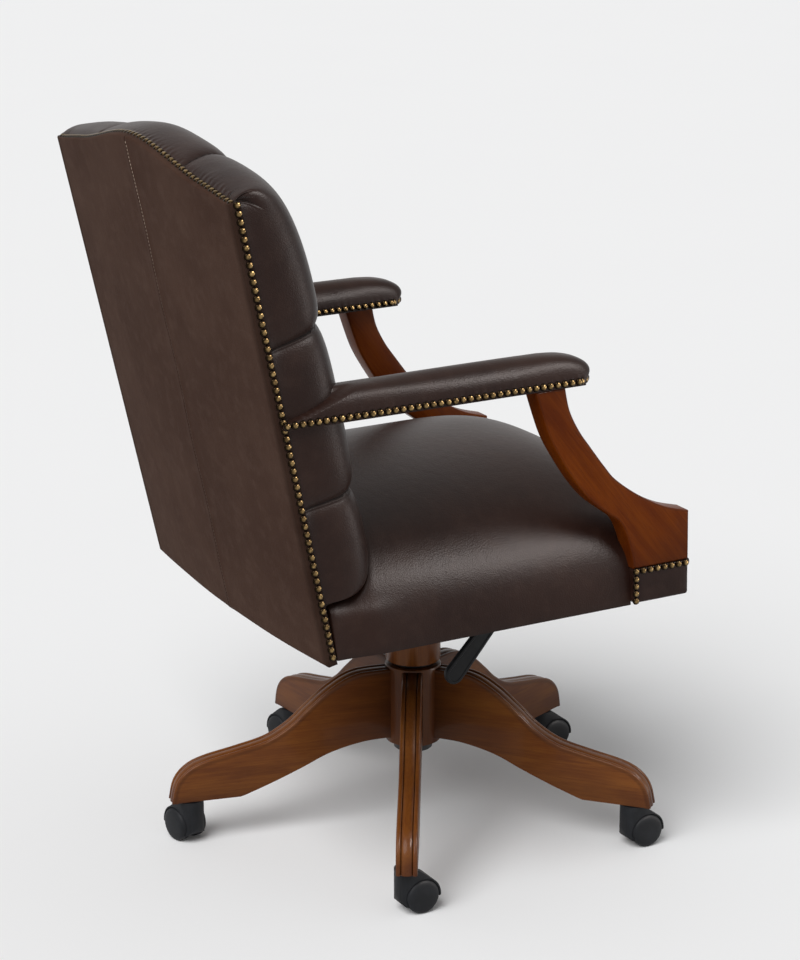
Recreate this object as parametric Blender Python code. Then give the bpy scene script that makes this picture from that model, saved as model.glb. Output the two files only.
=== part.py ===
"""Gainsborough swivel desk chair with a deep-buttoned leather back and a reeded wooden base.

Metres, +Z up. The origin is on the floor under the column's axis, and the chair faces -Y.
The seat, back and arms are modelled level and hang on an empty that pitches them about the tilt axis.
"""

import math

import bmesh
import bpy
from mathutils import Matrix, Vector

# Clearances
REST_GAP = 0.0003
RUN_GAP = 0.0005
SOFT_GAP = 0.0006

# Base: five reeded legs mortised into a turned hub
LEG_COUNT = 5
LEG_PHASE_DEG = 151.2
BASE_RADIUS = 0.354
FOOT_BOTTOM = 0.0630
FOOT_FLAT = 0.096
LEG_WIDTH = 0.0294
LEG_TOP_AT_HUB = 0.2272
LEG_BOTTOM_AT_HUB = 0.128
LEG_TENON = 0.0082
REED_CROWN = 0.0045
SIDE_REED_WIDTH = 0.0070
HUB_RADIUS = 0.0405
HUB_BOTTOM = 0.119
HUB_TOP = 0.236
# Each point is a share of the leg's run and of its rise, hub first
LEG_TOP_CURVE = ((0.0, 1.0), (0.15, 0.985), (0.262, 0.882), (0.37, 0.717), (0.452, 0.579),
                 (0.56, 0.462), (0.70, 0.395), (0.85, 0.335), (0.93, 0.27), (0.98, 0.16), (1.0, 0.0))
LEG_BOTTOM_CURVE = ((0.0, 1.0), (0.18, 0.97), (0.40, 0.80), (0.60, 0.51), (0.80, 0.24), (1.0, 0.0))

# Casters: hooded twin wheels that trail behind their stems
CASTER_INSET = 0.025
CASTER_YAWS_DEG = (-88.0, -88.0, -88.0, 13.0, 13.0)
WHEEL_RADIUS = 0.0240
WHEEL_WIDTH = 0.0150
WHEEL_DOME = 0.0030
WHEEL_TRAIL = 0.0150
AXLE_RADIUS = 0.004
WEB_HALF_WIDTH = 0.0065
HOOD_HALF_WIDTH = 0.0185
HOOD_WALL = 0.0024
STEM_BLOCK_RADIUS = 0.0175
STEM_RADIUS = 0.0055
STEM_LENGTH = 0.026

# Column: gas strut in a steel socket, with a turned wooden sleeve that rides with the seat
TUBE_RADIUS = 0.025
ROD_RADIUS = 0.014
SOCKET_WALL = 0.0025
SOCKET_BOTTOM = 0.107
COLLAR_WIDTH = 0.0060
COLLAR_HEIGHT = 0.0042
SLEEVE_RADIUS = 0.0395
SLEEVE_WALL = 0.0095
TUBE_FLOOR = 0.012
ROD_IN_HOUSING = 0.030

# Swivel and tilt mechanism
TILT_Y = -0.045
TILT_Z = 0.352
TILT_TRAVEL_DEG = 12.0
TILT_PIN_RADIUS = 0.006
HOUSING_BOTTOM = 0.318
HOUSING_HALF_WIDTH = 0.045
HOUSING_FRONT = 0.055
HOUSING_REAR = 0.100
HOUSING_CROWN = 0.0055
EAR_THICKNESS = 0.003
EAR_RADIUS = 0.013
PLATE_THICKNESS = 0.0035
PLATE_HALF_WIDTH = 0.090
PLATE_FRONT_Y = -0.135
PLATE_REAR_Y = 0.095
KNOB_RADIUS = 0.024
KNOB_HEIGHT = 0.043
KNOB_WALL = 0.004
KNOB_FLUTES = 10
KNOB_OFFSET = 0.030
BOLT_RADIUS = 0.004
BOLT_HEAD_RADIUS = 0.0085
BOLT_HEAD_HEIGHT = 0.005
SPRING_MEAN_RADIUS = 0.0125
SPRING_WIRE_RADIUS = 0.0018
SPRING_TURNS = 5
LEVER_Y = -0.032
LEVER_Z = 0.3365
LEVER_ROD_RADIUS = 0.005
LEVER_PIVOT_RADIUS = 0.003
LEVER_PIVOT_INSET = 0.009
LEVER_REACH = 0.165
LEVER_SLOT_HALF_WIDTH = 0.010
LEVER_SLOT_HEIGHT = 0.020
PADDLE_THICKNESS = 0.008
PADDLE_BOSS_RADIUS = 0.012
PADDLE_TIP_RADIUS = 0.0145
PADDLE_BACK = 0.054
PADDLE_DROP = 0.062

# Seat, in the level frame
SEAT_PITCH_DEG = 1.2
SEAT_BOTTOM = 0.378
SEAT_CROWN = 0.563
SEAT_HALF_WIDTH = 0.292
SEAT_FRONT_Y = -0.274
SEAT_REAR_Y = 0.262
SEAT_SIDE_POWER = 2.4
SEAT_FRONT_POWER = 3.4
SEAT_REAR_ROLL = 0.022
RAIL_OUTER_X = 0.2645
RAIL_THICKNESS = 0.025
RAIL_HEIGHT = 0.052
FRONT_RAIL_Y = -0.250
BOARD_THICKNESS = 0.012
WEBBING_THICKNESS = 0.003
DUST_COVER_THICKNESS = 0.0012

# Back, raked from its foot, in the level frame
BACK_RAKE_DEG = 10.84
BACK_FOOT_Y = 0.2708
BACK_FOOT_Z = 0.3697
BACK_SIDE_HEIGHT = 0.631
SHOULDER_RISE = 0.009
SHOULDER_RUN = 0.090
CAMEL_RISE = 0.036
CAMEL_START_X = 0.240
CAMEL_RUN = 0.240
BACK_HALF_BOTTOM = 0.284
BACK_HALF_TOP = 0.297
PANEL_THICKNESS = 0.005
PANEL_BOW_BOTTOM = 0.012
PANEL_BOW_TOP = 0.006
STILE_INNER_X = 0.235
STILE_OUTER_X = 0.268
STILE_DEPTH = 0.025
STILE_TOP = 0.605
BACK_RAIL_INSET = 0.012
TOP_RAIL_BOTTOM = 0.570
BOTTOM_RAIL_TOP = 0.068
PAD_BOTTOM = 0.0785
PAD_DEPTH = 0.118
PAD_TOP_SWELL = 0.015
PAD_SIDE_POWER = 5.5
PAD_TOP_POWER = 3.6
PAD_BOTTOM_POWER = 8.0

# Deep buttoning on the back pad
BUTTON_ROWS = (2, 3, 2, 3, 2)
BUTTON_FIRST_ROW = 0.1145
BUTTON_ROW_PITCH = 0.1105
BUTTON_COLUMN_PITCH = 0.190
BUTTON_DEPTH = 0.030
BUTTON_SPREAD = 0.034
PLEAT_DEPTH = 0.012
PLEAT_SPREAD = 0.013

# Arms, in the level frame
ARM_OUTER_X = 0.2994
ARM_WIDTH = 0.058
ARM_BOTTOM = 0.698
ARM_HEIGHT = 0.043
ARM_FRONT_Y = -0.1195
ARM_SIDE_POWER = 3.2
ARM_NOSE_POWER = 3.0
ARM_NOSE = 0.055
ARM_RAIL_WIDTH = 0.040
ARM_RAIL_HEIGHT = 0.0175
ARM_RAIL_SETBACK = 0.014
SUPPORT_THICKNESS = 0.0342
SUPPORT_EASE = 0.002
# Front and rear edges of the swept support, as (y, z), top first
SUPPORT_FRONT_EDGE = ((-0.077, 0.0), (-0.0836, -0.031), (-0.0976, -0.060), (-0.1152, -0.0855),
                      (-0.1382, -0.117), (-0.1558, -0.1375), (-0.1906, -0.1637),
                      (-0.2318, -0.186), (-0.270, -0.1977))
SUPPORT_REAR_EDGE = ((-0.032, 0.0), (-0.0435, -0.0373), (-0.0551, -0.069), (-0.0732, -0.102),
                     (-0.0957, -0.1363), (-0.1185, -0.163), (-0.1444, -0.1838), (-0.1616, -0.198),
                     (-0.173, -0.2213), (-0.1815, -0.2516))
BLOCK_FRONT_Y = -0.270
BLOCK_REAR_Y = -0.183
BLOCK_BOTTOM = 0.3808
BLOCK_TOP = 0.4302

# Facets
ROUND_STEPS = 32
FINE_STEPS = 16
COLLECTION = bpy.context.scene.collection


def clear_scene():
    for old in list(bpy.data.objects):
        bpy.data.objects.remove(old, do_unlink=True)


def material(name, colour, roughness, metallic=0.0):
    made = bpy.data.materials.new(name)
    made.use_nodes = True
    shader = made.node_tree.nodes["Principled BSDF"]
    shader.inputs["Base Color"].default_value = (*colour, 1.0)
    shader.inputs["Roughness"].default_value = roughness
    shader.inputs["Metallic"].default_value = metallic
    return made


def finished(bm):
    """The bmesh as a mesh with one skin, facing out."""
    bmesh.ops.remove_doubles(bm, verts=bm.verts, dist=1e-6)
    bmesh.ops.recalc_face_normals(bm, faces=bm.faces)
    mesh = bpy.data.meshes.new("shape")
    bm.to_mesh(mesh)
    bm.free()
    return mesh


def place(name, mesh, finish, parent=None, matrix=None):
    """Adds a sub-part that carries its finish, smooth across its round faces."""
    mesh.materials.clear()
    mesh.materials.append(finish)
    mesh.shade_smooth()
    mesh.set_sharp_from_angle(angle=math.radians(35))
    obj = bpy.data.objects.new(name, mesh)
    COLLECTION.objects.link(obj)
    obj.parent = parent
    if matrix is not None:
        obj.matrix_local = matrix
    return obj


def empty(name, location, rotation_x=0.0, parent=None):
    made = bpy.data.objects.new(name, None)
    made.location = location
    made.rotation_euler = (rotation_x, 0.0, 0.0)
    made.parent = parent
    COLLECTION.objects.link(made)
    return made


def combined(mesh, others, operation="DIFFERENCE"):
    """The mesh after a Boolean with each of the others, which are used up."""
    host = bpy.data.objects.new("host", mesh)
    COLLECTION.objects.link(host)
    helpers = []
    for other in others:
        helper = bpy.data.objects.new("helper", other)
        helper.hide_render = True
        helper.display_type = "WIRE"
        COLLECTION.objects.link(helper)
        helpers.append(helper)
        step = host.modifiers.new(operation.title(), "BOOLEAN")
        step.operation = operation
        step.object = helper
    graph = bpy.context.evaluated_depsgraph_get()
    result = bpy.data.meshes.new_from_object(host.evaluated_get(graph))
    for used in [host, *helpers]:
        bpy.data.objects.remove(used)
    return result


def turned(profile, steps=ROUND_STEPS, bored=False):
    """A profile of (radius, z) spun about Z: a ring if it is bored, else solid to the axis."""
    bm = bmesh.new()
    verts = [bm.verts.new((radius, 0.0, z)) for radius, z in profile]
    ends = verts[1:] + verts[:1] if bored else verts[1:]
    edges = [bm.edges.new(pair) for pair in zip(verts, ends)]
    bmesh.ops.spin(bm, geom=verts + edges, cent=(0, 0, 0), axis=(0, 0, 1),
                   angle=math.tau, steps=steps, use_merge=True)
    return finished(bm)


def rod(radius, low, high, steps=FINE_STEPS):
    return turned([(0.0, low), (radius, low), (radius, high), (0.0, high)], steps)


def tube(inner, outer, low, high, steps=ROUND_STEPS):
    return turned([(inner, low), (outer, low), (outer, high), (inner, high)], steps, bored=True)


def turned_to(mesh, axis, centre):
    """The mesh with its Z axis laid along another axis, at a centre."""
    turn = Vector((0, 0, 1)).rotation_difference(Vector(axis)).to_matrix().to_4x4()
    mesh.transform(Matrix.Translation(centre) @ turn)
    return mesh


def box(low, high):
    bm = bmesh.new()
    size = Vector(high) - Vector(low)
    centre = (Vector(high) + Vector(low)) / 2
    bmesh.ops.create_cube(bm, size=1.0, matrix=Matrix.Translation(centre) @ Matrix.Diagonal((*size, 1.0)))
    return finished(bm)


def prism(outline, low_x, high_x, ease=0.0):
    """An outline of (y, z) extruded along X, with its two rims eased."""
    bm = bmesh.new()
    face = bm.faces.new([bm.verts.new((low_x, y, z)) for y, z in outline])
    pushed = bmesh.ops.extrude_face_region(bm, geom=[face])["geom"]
    bmesh.ops.translate(bm, vec=(high_x - low_x, 0, 0),
                        verts=[v for v in pushed if isinstance(v, bmesh.types.BMVert)])
    if ease:
        rims = [e for e in bm.edges if abs(e.verts[0].co.x - e.verts[1].co.x) < ease]
        bmesh.ops.bevel(bm, geom=rims, offset=ease, segments=2, profile=0.5,
                        affect="EDGES", material=-1)
    return finished(bm)


def pillow(cells_u, cells_v, shape):
    """A grid over -1 to 1 both ways, moved by shape(u, v), with its flat rim filled."""
    bm = bmesh.new()
    bmesh.ops.create_grid(bm, x_segments=cells_u, y_segments=cells_v, size=1.0)
    for vert in bm.verts:
        vert.co = shape(vert.co.x, vert.co.y)
    bmesh.ops.dissolve_verts(bm, verts=[v for v in bm.verts if len(v.link_faces) == 1])
    bmesh.ops.edgeloop_fill(bm, edges=[e for e in bm.edges if e.is_boundary])
    return finished(bm)


def bulge(u, power):
    """Place and height, each as a share, on a rounded crown at u from -1 to 1."""
    angle = u * math.pi / 2
    return (math.copysign(abs(math.sin(angle)) ** (2 / power), u),
            max(math.cos(angle), 0.0) ** (2 / power))


def crown_height(place, power):
    """Height share of a rounded crown at a place from -1 to 1."""
    return max(1 - abs(place) ** power, 0.0) ** (1 / power)


def roll_lines(start, end, count):
    """Lines past start up to end, closing up as a roll turns away."""
    return [start + (end - start) * math.sin(math.pi / 2 * step / count) for step in range(1, count + 1)]


def creased(mesh):
    """Splits each quad along its deeper diagonal, so that the pleats stay sharp."""
    bm = bmesh.new()
    bm.from_mesh(mesh)
    for face in list(bm.faces):
        if len(face.verts) == 4:
            a, b, c, d = face.verts
            ends = (a, c) if a.co.y + c.co.y > b.co.y + d.co.y else (b, d)
            bmesh.utils.face_split(face, *ends)
    return finished(bm)


def smooth_share(value):
    """0 to 1 with level ends."""
    held = min(max(value, 0.0), 1.0)
    return held * held * (3 - 2 * held)


def curve_through(points, per_span):
    """A smooth line through the points, with per_span steps between each two."""
    padded = [points[0], *points, points[-1]]
    line = []
    for before, start, end, after in zip(padded, padded[1:], padded[2:], padded[3:]):
        for step in range(per_span):
            t = step / per_span
            line.append(tuple(
                ((2 * b) + (c - a) * t + (2 * a - 5 * b + 4 * c - d) * t * t
                 + (3 * b - a - 3 * c + d) * t ** 3) / 2
                for a, b, c, d in zip(before, start, end, after)))
    line.append(tuple(points[-1]))
    return line


def resampled(line, count):
    """The same line with count points, evenly spaced by their order along it."""
    picked = []
    for index in range(count):
        at = index * (len(line) - 1) / (count - 1)
        low = min(int(at), len(line) - 2)
        share = at - low
        picked.append(tuple(a + (b - a) * share for a, b in zip(line[low], line[low + 1])))
    return picked


def grown(outline, by):
    """A closed outline moved outwards, for the space that a piece needs."""
    points = [Vector(p) for p in outline]
    area = sum(a.x * b.y - b.x * a.y for a, b in zip(points, points[1:] + points[:1]))
    side = 1.0 if area > 0 else -1.0
    moved = []
    for before, here, after in zip(points[-1:] + points[:-1], points, points[1:] + points[:1]):
        normal = Vector((0.0, 0.0))
        for run in (here - before, after - here):
            normal += side * Vector((run.y, -run.x)).normalized()
        moved.append(tuple(here + normal.normalized() * by))
    return moved


# Base

def leg_angle(index):
    return math.radians(LEG_PHASE_DEG + 360.0 / LEG_COUNT * index)


def reed_section():
    """(across, up) over the leg's top: a side reed, the wide middle reed, a side reed."""
    half = LEG_WIDTH / 2
    inner = half - SIDE_REED_WIDTH
    section = [(-half, 0.0)]
    for low, high in ((-half, -inner), (-inner, inner), (inner, half)):
        for step in range(1, 5):
            angle = math.pi * step / 4
            middle = (low + high) / 2
            section.append((middle - (high - low) / 2 * math.cos(angle),
                            REED_CROWN * math.sin(angle) ** 0.7 if step < 4 else 0.0))
    return section


def leg_mesh():
    """One leg along +X: reeds wrap over its top and round its toe."""
    hub_end = HUB_RADIUS - LEG_TENON
    run = BASE_RADIUS - HUB_RADIUS
    rise = LEG_TOP_AT_HUB - FOOT_BOTTOM
    stations = 15
    top = [(hub_end, LEG_TOP_AT_HUB)]
    top += resampled(curve_through([(HUB_RADIUS + run * a, FOOT_BOTTOM + rise * b)
                                    for a, b in LEG_TOP_CURVE], 2), stations)
    flat_start = BASE_RADIUS - FOOT_FLAT
    under_run = flat_start - HUB_RADIUS
    under_rise = LEG_BOTTOM_AT_HUB - FOOT_BOTTOM
    under = curve_through([(HUB_RADIUS + under_run * a, FOOT_BOTTOM + under_rise * b)
                           for a, b in LEG_BOTTOM_CURVE], 2)
    heel_count = 9
    bottom = [(hub_end, LEG_BOTTOM_AT_HUB)] + resampled(under, heel_count)
    flat_count = stations - heel_count
    for step in range(1, flat_count + 1):
        bottom.append((flat_start + (FOOT_FLAT - REED_CROWN) * step / flat_count, FOOT_BOTTOM))
    bm = bmesh.new()
    loops = []
    section = reed_section()
    half = LEG_WIDTH / 2
    for index, (at, low) in enumerate(zip(top, bottom)):
        before = Vector(top[max(index - 1, 0)])
        after = Vector(top[min(index + 1, len(top) - 1)])
        along = (after - before).normalized()
        normal = Vector((1.0, 0.0)) if index == len(top) - 1 else Vector((-along.y, along.x))
        ring = [bm.verts.new((at[0] + normal.x * up, across, at[1] + normal.y * up))
                for across, up in section]
        ring += [bm.verts.new((low[0], side, low[1])) for side in (half, -half)]
        loops.append(ring)
    for first, second in zip(loops, loops[1:]):
        for a, b, c, d in zip(first, first[1:] + first[:1], second[1:] + second[:1], second):
            bm.faces.new((a, b, c, d))
    bm.faces.new(loops[0])
    bm.faces.new(loops[-1])
    socket = rod(STEM_RADIUS + RUN_GAP, FOOT_BOTTOM - REED_CROWN, FOOT_BOTTOM + STEM_LENGTH + RUN_GAP)
    socket.transform(Matrix.Translation((BASE_RADIUS - CASTER_INSET, 0, 0)))
    return combined(finished(bm), [socket])


def build_base(wood, steel, black):
    leg = leg_mesh()
    mortises = []
    floor = HUB_RADIUS - LEG_TENON - REST_GAP
    half = LEG_WIDTH / 2 + REST_GAP
    for index in range(LEG_COUNT):
        turn = Matrix.Rotation(leg_angle(index), 4, "Z")
        place(f"base_leg_{index + 1}", leg.copy(), wood, matrix=turn)
        mortise = box((floor, -half, LEG_BOTTOM_AT_HUB - REST_GAP),
                      (HUB_RADIUS + LEG_WIDTH, half, LEG_TOP_AT_HUB + REED_CROWN + REST_GAP))
        mortise.transform(turn)
        mortises.append(mortise)
    socket_inner = TUBE_RADIUS + REST_GAP
    socket_outer = socket_inner + SOCKET_WALL
    bore = socket_outer + REST_GAP
    ease = REED_CROWN / 3
    hub = turned([(bore, HUB_BOTTOM), (HUB_RADIUS - ease, HUB_BOTTOM), (HUB_RADIUS, HUB_BOTTOM + ease),
                  (HUB_RADIUS, HUB_TOP - ease), (HUB_RADIUS - ease, HUB_TOP), (bore, HUB_TOP)],
                 LEG_COUNT * 8, bored=True)
    place("base_hub", combined(hub, mortises), wood)
    place("tube_socket", tube(socket_inner, socket_outer, SOCKET_BOTTOM, HUB_TOP), black)
    collar_low = HUB_TOP + REST_GAP
    place("column_collar", tube(socket_inner, socket_inner + COLLAR_WIDTH,
                                collar_low, collar_low + COLLAR_HEIGHT), black)
    tube_top = HOUSING_BOTTOM - SLEEVE_WALL * 2
    rod_bore = ROD_RADIUS + RUN_GAP
    floor_z = SOCKET_BOTTOM + TUBE_FLOOR
    place("gas_tube", turned([(0.0, SOCKET_BOTTOM), (TUBE_RADIUS, SOCKET_BOTTOM), (TUBE_RADIUS, tube_top),
                              (rod_bore, tube_top), (rod_bore, floor_z), (0.0, floor_z)]), black)
    place("gas_piston", rod(ROD_RADIUS, floor_z + RUN_GAP, HOUSING_BOTTOM + ROD_IN_HOUSING, ROUND_STEPS), steel)


# Casters, modelled with the stem on Z and the wheels trailing along +X

def caster_outline():
    """Side view of the housing: stem block, hood round the wheels, and the web down to the axle."""
    hood = WHEEL_RADIUS + RUN_GAP + HOOD_WALL
    top = FOOT_BOTTOM - RUN_GAP
    outline = [(-STEM_BLOCK_RADIUS, WHEEL_RADIUS * 0.75), (-STEM_BLOCK_RADIUS * 0.75, WHEEL_RADIUS * 0.5)]
    outline.append((WHEEL_TRAIL, WHEEL_RADIUS * 0.42))
    for step in range(8):
        angle = math.radians(-5 + 10 * step)
        outline.append((WHEEL_TRAIL + hood * math.cos(angle), WHEEL_RADIUS + hood * math.sin(angle)))
    outline += [(STEM_BLOCK_RADIUS * 0.55, top), (-STEM_BLOCK_RADIUS, top)]
    return outline


def caster_housing_mesh():
    body = prism(caster_outline(), -HOOD_HALF_WIDTH, HOOD_HALF_WIDTH)
    bm = bmesh.new()
    bm.from_mesh(body)
    nose = [e for e in bm.edges if all(abs(v.co.y + STEM_BLOCK_RADIUS) < 1e-6 for v in e.verts)
            and abs(e.verts[0].co.x - e.verts[1].co.x) < 1e-6]
    bmesh.ops.bevel(bm, geom=nose, offset=HOOD_HALF_WIDTH * 0.8, segments=4, profile=0.5,
                    affect="EDGES", clamp_overlap=True, material=-1)
    body = finished(bm)
    body.transform(Matrix.Rotation(math.radians(90), 4, "Z").inverted())
    wells = []
    for side in (-1, 1):
        low = WEB_HALF_WIDTH
        well = rod(WHEEL_RADIUS + RUN_GAP, low, low + WHEEL_WIDTH * 2, 20)
        wells.append(turned_to(well, (0, side, 0), (WHEEL_TRAIL, 0, WHEEL_RADIUS)))
    hollowed = combined(body, wells)
    half_axle = WEB_HALF_WIDTH + WHEEL_WIDTH - WHEEL_DOME
    axle = turned_to(rod(AXLE_RADIUS, -half_axle, half_axle), (0, 1, 0), (WHEEL_TRAIL, 0, WHEEL_RADIUS))
    stem = rod(STEM_RADIUS, FOOT_BOTTOM - STEM_RADIUS, FOOT_BOTTOM + STEM_LENGTH)
    return combined(hollowed, [axle, stem], "UNION")


def wheel_mesh():
    """One wheel along +Z from its inner face: a tread, a domed outer face and a blind bore."""
    bore = AXLE_RADIUS + RUN_GAP
    depth = WHEEL_WIDTH - WHEEL_DOME + RUN_GAP
    shoulder = WHEEL_WIDTH - WHEEL_DOME
    profile = [(0.0, depth), (bore, depth), (bore, 0.0), (WHEEL_RADIUS, 0.0),
               (WHEEL_RADIUS, shoulder - WHEEL_DOME / 3),
               (WHEEL_RADIUS - WHEEL_DOME / 2, shoulder + WHEEL_DOME / 2),
               (WHEEL_RADIUS * 0.6, WHEEL_WIDTH), (0.0, WHEEL_WIDTH + WHEEL_DOME / 4)]
    return turned(profile, 20)


def build_casters(black, tread):
    housing = caster_housing_mesh()
    wheel = wheel_mesh()
    reach = BASE_RADIUS - CASTER_INSET
    for index in range(LEG_COUNT):
        angle = leg_angle(index)
        spot = (reach * math.cos(angle), reach * math.sin(angle), 0.0)
        swivel = empty(f"caster_swivel_{index + 1}", spot)
        swivel.rotation_euler.z = math.radians(CASTER_YAWS_DEG[index])
        place(f"caster_housing_{index + 1}", housing.copy(), black, swivel)
        for side, word in ((-1, "right"), (1, "left")):
            turn = Matrix.Rotation(math.radians(-90 * side), 4, "X")
            shift = Matrix.Translation((WHEEL_TRAIL, side * (WEB_HALF_WIDTH + RUN_GAP), WHEEL_RADIUS))
            place(f"caster_wheel_{index + 1}_{word}", wheel.copy(), tread, swivel, shift @ turn)


# Swivel and tilt mechanism

def housing_outline():
    """Side view, cut away behind the pivot so that the seat plate can lean back."""
    crown = TILT_Z + HOUSING_CROWN
    lean = math.tan(math.radians(TILT_TRAVEL_DEG + SEAT_PITCH_DEG))
    rear = TILT_Y + HOUSING_REAR
    slope_start = TILT_Y + EAR_RADIUS
    return [(TILT_Y - HOUSING_FRONT, HOUSING_BOTTOM), (rear, HOUSING_BOTTOM),
            (rear, crown - (rear - slope_start) * lean), (slope_start, crown),
            (TILT_Y - EAR_RADIUS, crown), (TILT_Y - HOUSING_FRONT, crown - HOUSING_CROWN)]


def build_mechanism(black, steel):
    pin_hole = TILT_PIN_RADIUS + RUN_GAP
    half = HOUSING_HALF_WIDTH
    cross = turned_to(rod(pin_hole, -half * 2, half * 2), (1, 0, 0), (0, TILT_Y, TILT_Z))
    socket = rod(ROD_RADIUS + RUN_GAP, HOUSING_BOTTOM - ROD_RADIUS,
                 HOUSING_BOTTOM + ROD_IN_HOUSING + RUN_GAP, ROUND_STEPS)
    slot_low = LEVER_Z - LEVER_SLOT_HEIGHT / 2
    slot = box((-half * 2, LEVER_Y - LEVER_SLOT_HALF_WIDTH, slot_low),
               (-half + LEVER_PIVOT_INSET * 2, LEVER_Y + LEVER_SLOT_HALF_WIDTH, slot_low + LEVER_SLOT_HEIGHT))
    housing = prism(housing_outline(), -half, half, SUPPORT_EASE)
    place("mechanism_housing", combined(housing, [cross, socket, slot]), black)
    sleeve_low = HUB_TOP + REST_GAP + COLLAR_HEIGHT + RUN_GAP
    place("column_sleeve", tube(SLEEVE_RADIUS - SLEEVE_WALL, SLEEVE_RADIUS, sleeve_low,
                                HOUSING_BOTTOM - REST_GAP, 40), WOOD)
    reach = half + REST_GAP * 2 + EAR_THICKNESS * 2
    place("tilt_pin", turned_to(rod(TILT_PIN_RADIUS, -reach, reach), (1, 0, 0), (0, TILT_Y, TILT_Z)), steel)


def build_tension(black, steel):
    """Knob cup under the front of the housing, on a bolt, with the coil spring inside it."""
    spot = (0.0, TILT_Y - KNOB_OFFSET, 0.0)
    top = HOUSING_BOTTOM - REST_GAP
    knob_top = HOUSING_BOTTOM - SPRING_WIRE_RADIUS * 4
    knob_low = knob_top - KNOB_HEIGHT
    bolt = turned([(0.0, knob_low - RUN_GAP - BOLT_HEAD_HEIGHT), (BOLT_HEAD_RADIUS, knob_low - RUN_GAP - BOLT_HEAD_HEIGHT),
                   (BOLT_HEAD_RADIUS, knob_low - RUN_GAP), (BOLT_RADIUS, knob_low - RUN_GAP),
                   (BOLT_RADIUS, top), (0.0, top)], FINE_STEPS)
    place("tension_bolt", bolt, steel, matrix=Matrix.Translation(spot))
    floor = knob_low + KNOB_WALL
    hole = BOLT_RADIUS + RUN_GAP
    cup = turned([(hole, knob_low), (KNOB_RADIUS - KNOB_WALL / 2, knob_low), (KNOB_RADIUS, knob_low + KNOB_WALL / 2),
                  (KNOB_RADIUS, knob_top), (KNOB_RADIUS - KNOB_WALL, knob_top), (KNOB_RADIUS - KNOB_WALL, floor),
                  (hole, floor)], KNOB_FLUTES * 4, bored=True)
    bm = bmesh.new()
    bm.from_mesh(cup)
    for vert in bm.verts:
        radius = vert.co.xy.length
        if radius > KNOB_RADIUS - KNOB_WALL / 4:
            angle = math.atan2(vert.co.y, vert.co.x)
            vert.co.xy *= 1 - KNOB_WALL / 4 / KNOB_RADIUS * (1 + math.cos(angle * KNOB_FLUTES))
    knob_hinge = empty("knob_hinge", spot)
    place("tension_knob", finished(bm), black, knob_hinge)
    build_spring(steel, spot, floor + REST_GAP, top - REST_GAP)


def build_spring(steel, spot, low, high):
    """One unbroken wire, its centre line from low to high less the wire's own radius."""
    start = low + SPRING_WIRE_RADIUS
    climb = high - low - 2 * SPRING_WIRE_RADIUS
    count = SPRING_TURNS * 10 + 1
    points = []
    for index in range(count):
        share = index / (count - 1)
        angle = math.tau * SPRING_TURNS * share
        points.append((SPRING_MEAN_RADIUS * math.cos(angle), SPRING_MEAN_RADIUS * math.sin(angle),
                       start + climb * share))
    least = min((Vector(a) - Vector(b)).length for i, a in enumerate(points) for b in points[i + 6:])
    print(f"tension_spring: least gap to itself {1000 * (least - 2 * SPRING_WIRE_RADIUS):.2f} mm")
    curve = bpy.data.curves.new("tension_spring", "CURVE")
    curve.dimensions = "3D"
    curve.bevel_depth = SPRING_WIRE_RADIUS
    curve.bevel_resolution = 1
    curve.use_fill_caps = True
    spline = curve.splines.new("POLY")
    spline.points.add(count - 1)
    for point, place_at in zip(spline.points, points):
        point.co = (*place_at, 1.0)
    curve.materials.append(steel)
    coil = bpy.data.objects.new("tension_spring", curve)
    coil.location = spot
    COLLECTION.objects.link(coil)


def paddle_outline():
    """Rounded boss on the rod and a rounded tip, joined by two straight flanks."""
    run = Vector((PADDLE_BACK, -PADDLE_DROP))
    lean = math.atan2(run.y, run.x)
    spread = math.acos((PADDLE_BOSS_RADIUS - PADDLE_TIP_RADIUS) / run.length)
    outline = []
    for centre, radius, first, last in (
            (Vector((LEVER_Y, LEVER_Z)), PADDLE_BOSS_RADIUS, lean + spread, lean + math.tau - spread),
            (Vector((LEVER_Y, LEVER_Z)) + run, PADDLE_TIP_RADIUS, lean - spread, lean + spread)):
        for step in range(9):
            angle = first + (last - first) * step / 8
            outline.append((centre.x + radius * math.cos(angle), centre.y + radius * math.sin(angle)))
    return outline


def build_lever(black, steel):
    pivot_x = -HOUSING_HALF_WIDTH + LEVER_PIVOT_INSET
    hinge = empty("lever_hinge", (pivot_x, LEVER_Y, LEVER_Z))
    back = Matrix.Translation(hinge.location).inverted()
    reach = -LEVER_REACH + PADDLE_THICKNESS / 2 + REST_GAP
    bar = turned_to(rod(LEVER_ROD_RADIUS, 0.0, pivot_x - reach + LEVER_PIVOT_RADIUS), (-1, 0, 0),
                    (pivot_x + LEVER_PIVOT_RADIUS, LEVER_Y, LEVER_Z))
    half = LEVER_SLOT_HALF_WIDTH - REST_GAP
    cross = turned_to(rod(LEVER_PIVOT_RADIUS, -half, half), (0, 1, 0), (pivot_x, LEVER_Y, LEVER_Z))
    place("lever_rod", combined(bar, [cross], "UNION"), steel, hinge, back)
    middle = -LEVER_REACH
    blade = prism(paddle_outline(), middle - PADDLE_THICKNESS / 2, middle + PADDLE_THICKNESS / 2, SUPPORT_EASE)
    place("lever_paddle", blade, black, hinge, back)


# Back, in its own frame: y = 0 on the panel's rear edge, -y forwards, z up its slope

def back_half_width(z):
    return BACK_HALF_BOTTOM + (BACK_HALF_TOP - BACK_HALF_BOTTOM) * z / BACK_SIDE_HEIGHT


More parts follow.
